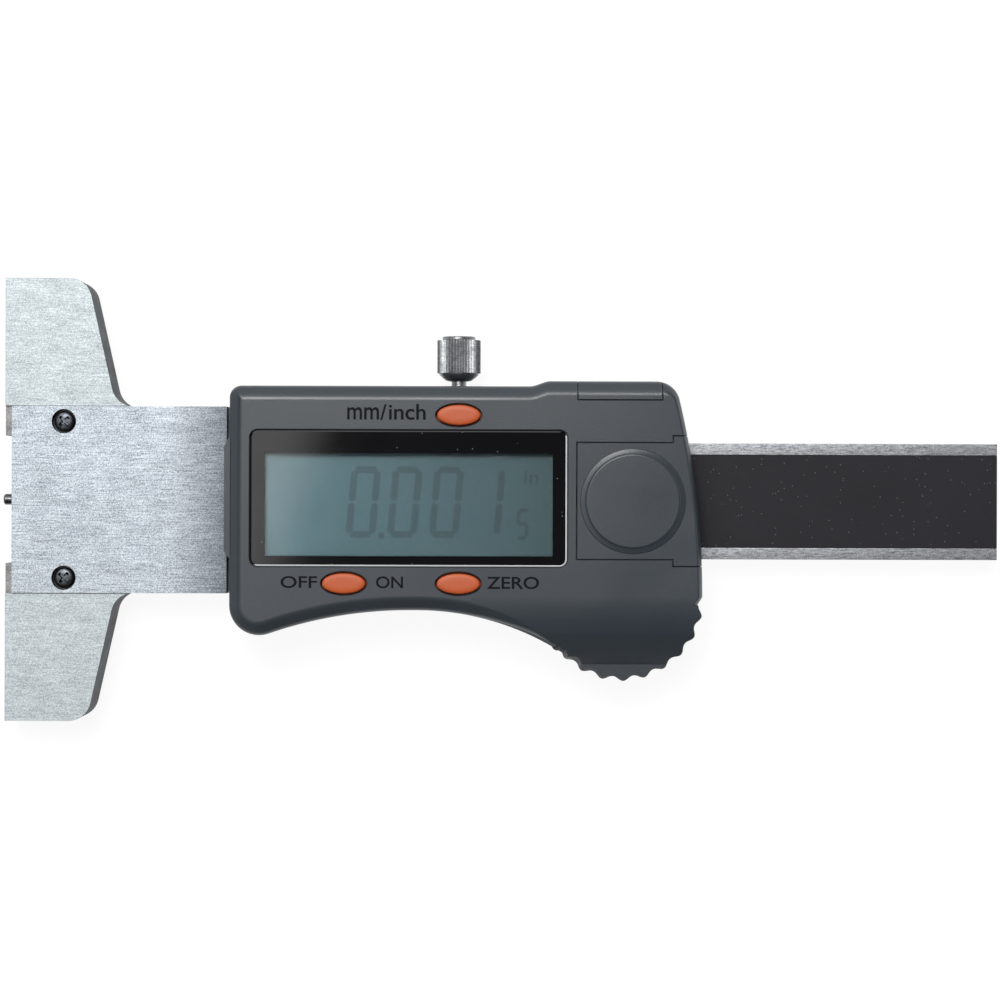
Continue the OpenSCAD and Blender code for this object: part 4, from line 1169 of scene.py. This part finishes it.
def digit_rows(text, x, y, w, h, stroke, pitch):
    """Places of the bars of each digit, whose lower left corner is at x, y."""
    rows = []
    half = (h - stroke) / 2
    mid_w = w - stroke
    for i, sign in enumerate(text):
        x0 = x + stroke / 2 + i * pitch
        y0 = y + stroke / 2
        places = {"a": (x0 + mid_w / 2, y0 + 2 * half, 0), "g": (x0 + mid_w / 2, y0 + half, 0),
                  "d": (x0 + mid_w / 2, y0, 0), "b": (x0 + mid_w, y0 + 1.5 * half, 1),
                  "c": (x0 + mid_w, y0 + half / 2, 1), "f": (x0, y0 + 1.5 * half, 1),
                  "e": (x0, y0 + half / 2, 1)}
        for key in SEGMENTS[sign]:
            px, py, upright = places[key]
            length = (half if upright else mid_w) - 0.12 * stroke
            rows.append(((px + (py - y) * LEAN, py, DISPLAY_Z + BAR_LIFT),
                         math.pi / 2 - math.atan(LEAN) if upright else 0, (length, stroke, 1)))
    return rows


bar_shape = loft("bar_shape", [[(-0.5, 0, z), (-0.42, -0.5, z), (0.42, -0.5, z), (0.5, 0, z), (0.42, 0.5, z),
                                (-0.42, 0.5, z)] for z in (-0.01, 0.01)])
rows = digit_rows("0001", 46.40, -5.00, 4.0, 9.55, 0.92, 5.55)
rows += digit_rows("5", 69.05, -5.20, 1.75, 4.2, 0.50, 2.2)
rows.append(((51.25, -4.70, DISPLAY_Z + BAR_LIFT), 0, (0.8, 0.8, 1)))
digits = grown(points_with("display_digits", rows), bars, Bar=bar_shape, Ink=segment_ink)
bpy.data.objects.remove(bar_shape)
dressed(digits, segment_ink, "slider", "display_glass")


# %% [markdown]
# ## Lettering
# The captions are plain words that any such gauge carries. Each is a text object with a hair of
# thickness, turned into a mesh before it gets its place, and sunk slightly into the face so it never
# floats.

# %% Words
def words(name, text, box_of, z, finish, slot, bold):
    """A line of text fitted into (x0, x1, y0, y1), in millimetres."""
    x0, x1, y0, y1 = box_of
    curve = bpy.data.curves.new(name, "FONT")
    curve.body = text
    curve.offset = bold
    curve.extrude = 0.01
    thing = linked(name, curve)
    mesh = bpy.data.meshes.new_from_object(thing.evaluated_get(bpy.context.evaluated_depsgraph_get()))
    bpy.data.objects.remove(thing)
    xs = [v.co.x for v in mesh.vertices]
    ys = [v.co.y for v in mesh.vertices]
    wide, high = max(xs) - min(xs), max(ys) - min(ys)
    for v in mesh.vertices:
        v.co = Vector((x0 + (v.co.x - min(xs)) / wide * (x1 - x0), y0 + (v.co.y - min(ys)) / high * (y1 - y0),
                       z + (0.012 if v.co.z > 0 else -0.02))) * MM
    return dressed(linked(name, mesh), finish, "slider", slot)


FINE_BOLD, BOLD = 0.012, 0.014
for name, text, box_of, bold in [("mm", "mm", (46.70, 50.95, 10.75, 12.40), FINE_BOLD),
                                 ("slash", "/", (51.10, 51.95, 10.70, 12.80), FINE_BOLD),
                                 ("inch", "inch", (52.25, 57.15, 10.72, 12.85), FINE_BOLD),
                                 ("off", "OFF", (37.90, 42.75, -11.70, -10.10), BOLD),
                                 ("on", "ON", (50.60, 54.20, -11.70, -10.10), BOLD),
                                 ("zero", "ZERO", (65.35, 72.30, -11.75, -10.10), BOLD)]:
    words("caption_" + name, text, box_of, face_z, ink, "black_epoxy", bold)
words("display_unit", "in", (70.3, 72.2, 2.3, 4.0), DISPLAY_Z + 0.01, segment_ink, "display_glass", BOLD)

# %% [markdown]
# ## Buttons
# A button is an oval plug with a flange under the roof, a stem that reaches the snap dome and a slightly
# domed top with a round edge. All of it is one loft of ovals.

# %% Three buttons
CROWN = 0.22
CROWN_POWER = 4.5
STEM_R = 0.9
FLANGE_H = 0.75
for body, node_name in BUTTONS.items():
    low, high = span(node_name)
    x, y = (low.x + high.x) / 2, (low.y + high.y) / 2
    rim_z = high.z - CROWN
    flange = (roof_z - FINE - FLANGE_H, roof_z - FINE)
    levels_of = [(STEM_R, STEM_R, low.z), (STEM_R, STEM_R, flange[0]),
                 (BUTTON_A + 0.6, BUTTON_B + 0.5, flange[0]), (BUTTON_A + 0.6, BUTTON_B + 0.5, flange[1]),
                 (BUTTON_A, BUTTON_B, flange[1]), (BUTTON_A, BUTTON_B, rim_z - 0.06)]
    for i in range(15):
        s = math.cos(math.pi / 2 * i / 15)
        inset = 1 - s
        crown_z = rim_z + CROWN * (1 - s ** CROWN_POWER) ** 0.5
        levels_of.append((BUTTON_A - inset * BUTTON_B, BUTTON_B * s, crown_z))
    rings = [at_height(oval(a, b, x, y), z) for a, b, z in levels_of]
    plug = shaded(loft("button_" + body + "_plug", rings), 40)
    dressed(plug, orange_plastic, body + "_button", "orange_rubber", node_name)

# %% [markdown]
# ## Screws
# One cross-head screw serves for both sorts, turned on a lathe with the cross cut out. Geometry Nodes puts
# a copy on each point, with a random turn from a fixed seed, as screws never stop at the same angle.


# %% A screw on every point
SCREW_SPREAD = 0.35
screws, ends, out = geometry_tree("screw_set", [("Screw", "Object", None), ("Turn", "Float", 0.0),
                                                ("Seed", "Int", 3), ("Metal", "Material", None)])
shape = geo(screws, "ObjectInfo", Object=ends.outputs["Screw"], As_Instance=True)
spread = node(screws, "RandomValue", {"data_type": "FLOAT"}, "Function", Seed=ends.outputs["Seed"])
spread.inputs[2].default_value = -SCREW_SPREAD
spread.inputs[3].default_value = SCREW_SPREAD
angle = node(screws, "Math", {"operation": "ADD"}, _0=spread.outputs[1], _1=ends.outputs["Turn"])
axis = node(screws, "CombineXYZ", Z=angle)
put = geo(screws, "InstanceOnPoints", Points=ends.outputs["Geometry"],
          Instance=shape.outputs["Geometry"], Rotation=axis)
real = geo(screws, "RealizeInstances", Geometry=put)
metal = geo(screws, "SetMaterial", Geometry=real, Material=ends.outputs["Metal"])
screws.links.new(metal.outputs[0], out.inputs[0])


def screw_shape(profile, cross, depth):
    """A screw with its top at height 0 and a cross recess with sloping ends."""
    thing = lathe("screw", profile, 48)
    w = cross / 3.9
    for a, b in ((cross / 2, w / 2), (w / 2, cross / 2)):
        low = [(-a * 0.55, -b * 0.7), (a * 0.55, -b * 0.7), (a * 0.55, b * 0.7), (-a * 0.55, b * 0.7)]
        high = [(-a, -b), (a, -b), (a, b), (-a, b)]
        combine(thing, loft("cut", [at_height(low, -depth), at_height(high, 0.02), at_height(high, 1.0)]))
    return thing


# %% The face plate's screws
base_screw = screw_shape([(0.78, head_low.z - head_high.z), (0.8, -0.75), (HEAD_R, -0.72), (HEAD_R, -0.34),
                          (HEAD_R * 0.95, -0.21), (HEAD_R * 0.86, -0.12), (HEAD_R * 0.70, -0.05),
                          (HEAD_R * 0.5, -0.015), (0.3, 0.0)], 1.85, 0.5)
places_of = [(bore[0], s * bore[1], head_high.z) for s in (-1, 1)]
screw_set = points_with("plate_screws", [(p, 0, (1, 1, 1)) for p in places_of])
grown(screw_set, screws, Screw=base_screw, Turn=0.6, Metal=dark_steel)
bpy.data.objects.remove(base_screw)
dressed(shaded(screw_set), dark_steel, "slider", "dark_screws", "base_screws")

# %% The countersunk screws in the back
low, high = span("back_screws")
HEAD = 1.5
back_screw = screw_shape([(0.78, low.z - high.z), (0.8, -0.9), (HEAD, -0.08), (HEAD, -0.02),
                          (HEAD - 0.05, 0.0)], 1.7, 0.55)
place(back_screw, turn=(math.pi, 0, 0))
screw_set = points_with("rear_screws", [((x, y, low.z), 0, (1, 1, 1)) for x, y in screw_at])
grown(screw_set, screws, Screw=back_screw, Turn=0.2, Seed=8, Metal=plain_steel)
bpy.data.objects.remove(back_screw)
dressed(shaded(screw_set), plain_steel, "slider", "bright_screws", "back_screws")

# %% [markdown]
# ## Lock screw
# The knob's straight knurl is a ring of V-shaped ridges. Geometry Nodes sweeps one ridge along a short
# line whose radius shrinks at both ends, and puts it on every point of a circle, with one corner outwards.

# %% Knurl
RIDGES = 46
knurl, ends, out = geometry_tree("straight_knurl", [
    ("Ridges", "Int", RIDGES), ("Radius", "Float", 0.0027), ("Length", "Float", 0.0045),
    ("Ridge", "Float", 0.0003), ("Metal", "Material", None)])
top_of = node(knurl, "CombineXYZ", Z=ends.outputs["Length"])
line = geo(knurl, "CurvePrimitiveLine", End=top_of)
line = geo(knurl, "ResampleCurve", Curve=line, Count=14)
along = geo(knurl, "SplineParameter")
fold = node(knurl, "Math", {"operation": "PINGPONG"}, _0=along.outputs["Factor"], _1=0.5)
taper = node(knurl, "MapRange", _0=fold, _1=0.0, _2=0.07, _3=0.25, _4=1.0)
sized = geo(knurl, "SetCurveRadius", Curve=line, Radius=taper)
profile = geo(knurl, "CurvePrimitiveCircle", Resolution=4, Radius=ends.outputs["Ridge"])
ridge = geo(knurl, "CurveToMesh", Curve=sized, Profile_Curve=profile,
            Fill_Caps=True)
ring = geo(knurl, "MeshCircle", Vertices=ends.outputs["Ridges"], Radius=ends.outputs["Radius"])
spot = geo(knurl, "InputPosition")
facing = node(knurl, "AlignRotationToVector", {"axis": "X", "pivot_axis": "Z"}, "Function",
              Vector=spot)
put = geo(knurl, "InstanceOnPoints", Points=ring, Instance=ridge,
          Rotation=facing)
whole = geo(knurl, "JoinGeometry", Geometry=put)
knurl.links.new(ends.outputs["Geometry"], whole.inputs[0])
real = geo(knurl, "RealizeInstances", Geometry=whole)
metal = geo(knurl, "SetMaterial", Geometry=real, Material=ends.outputs["Metal"])
knurl.links.new(metal.outputs[0], out.inputs[0])

# %% Knob
knob_r = (knob_high.x - knob_low.x) / 2
RIDGE = 0.22
KNURL_L = 4.5
core_r = knob_r - 0.20
tip_y = knob_low.y
knurl_y = knob_high.y - 0.5 - KNURL_L
BOWL = 1.1
core = lathe("lock_knob_steel", [
    (0.95, tip_y), (1.0, tip_y + 0.1), (1.0, knurl_y - BOWL), (1.30, knurl_y - BOWL),
    (1.75, knurl_y - BOWL + 0.10), (2.25, knurl_y - 0.62), (2.6, knurl_y - 0.30), (2.74, knurl_y - 0.05),
    (core_r, knurl_y + 0.12), (core_r, knurl_y + 4.38), (2.45, knurl_y + KNURL_L), (2.25, knurl_y + 4.62),
    (2.25, knob_high.y - 0.12), (2.13, knob_high.y)], 72)
place(core, (0, 0, -knurl_y))
grown(core, knurl, Radius=core_r * MM, Length=KNURL_L * MM, Ridge=RIDGE * MM, Metal=knurled_steel)
place(core, (lock_x, knurl_y, 0), (-math.pi / 2, 0, 0))
dressed(shaded(core, 40), knurled_steel, "lock_knob", "knurled_steel", "lock_screw")
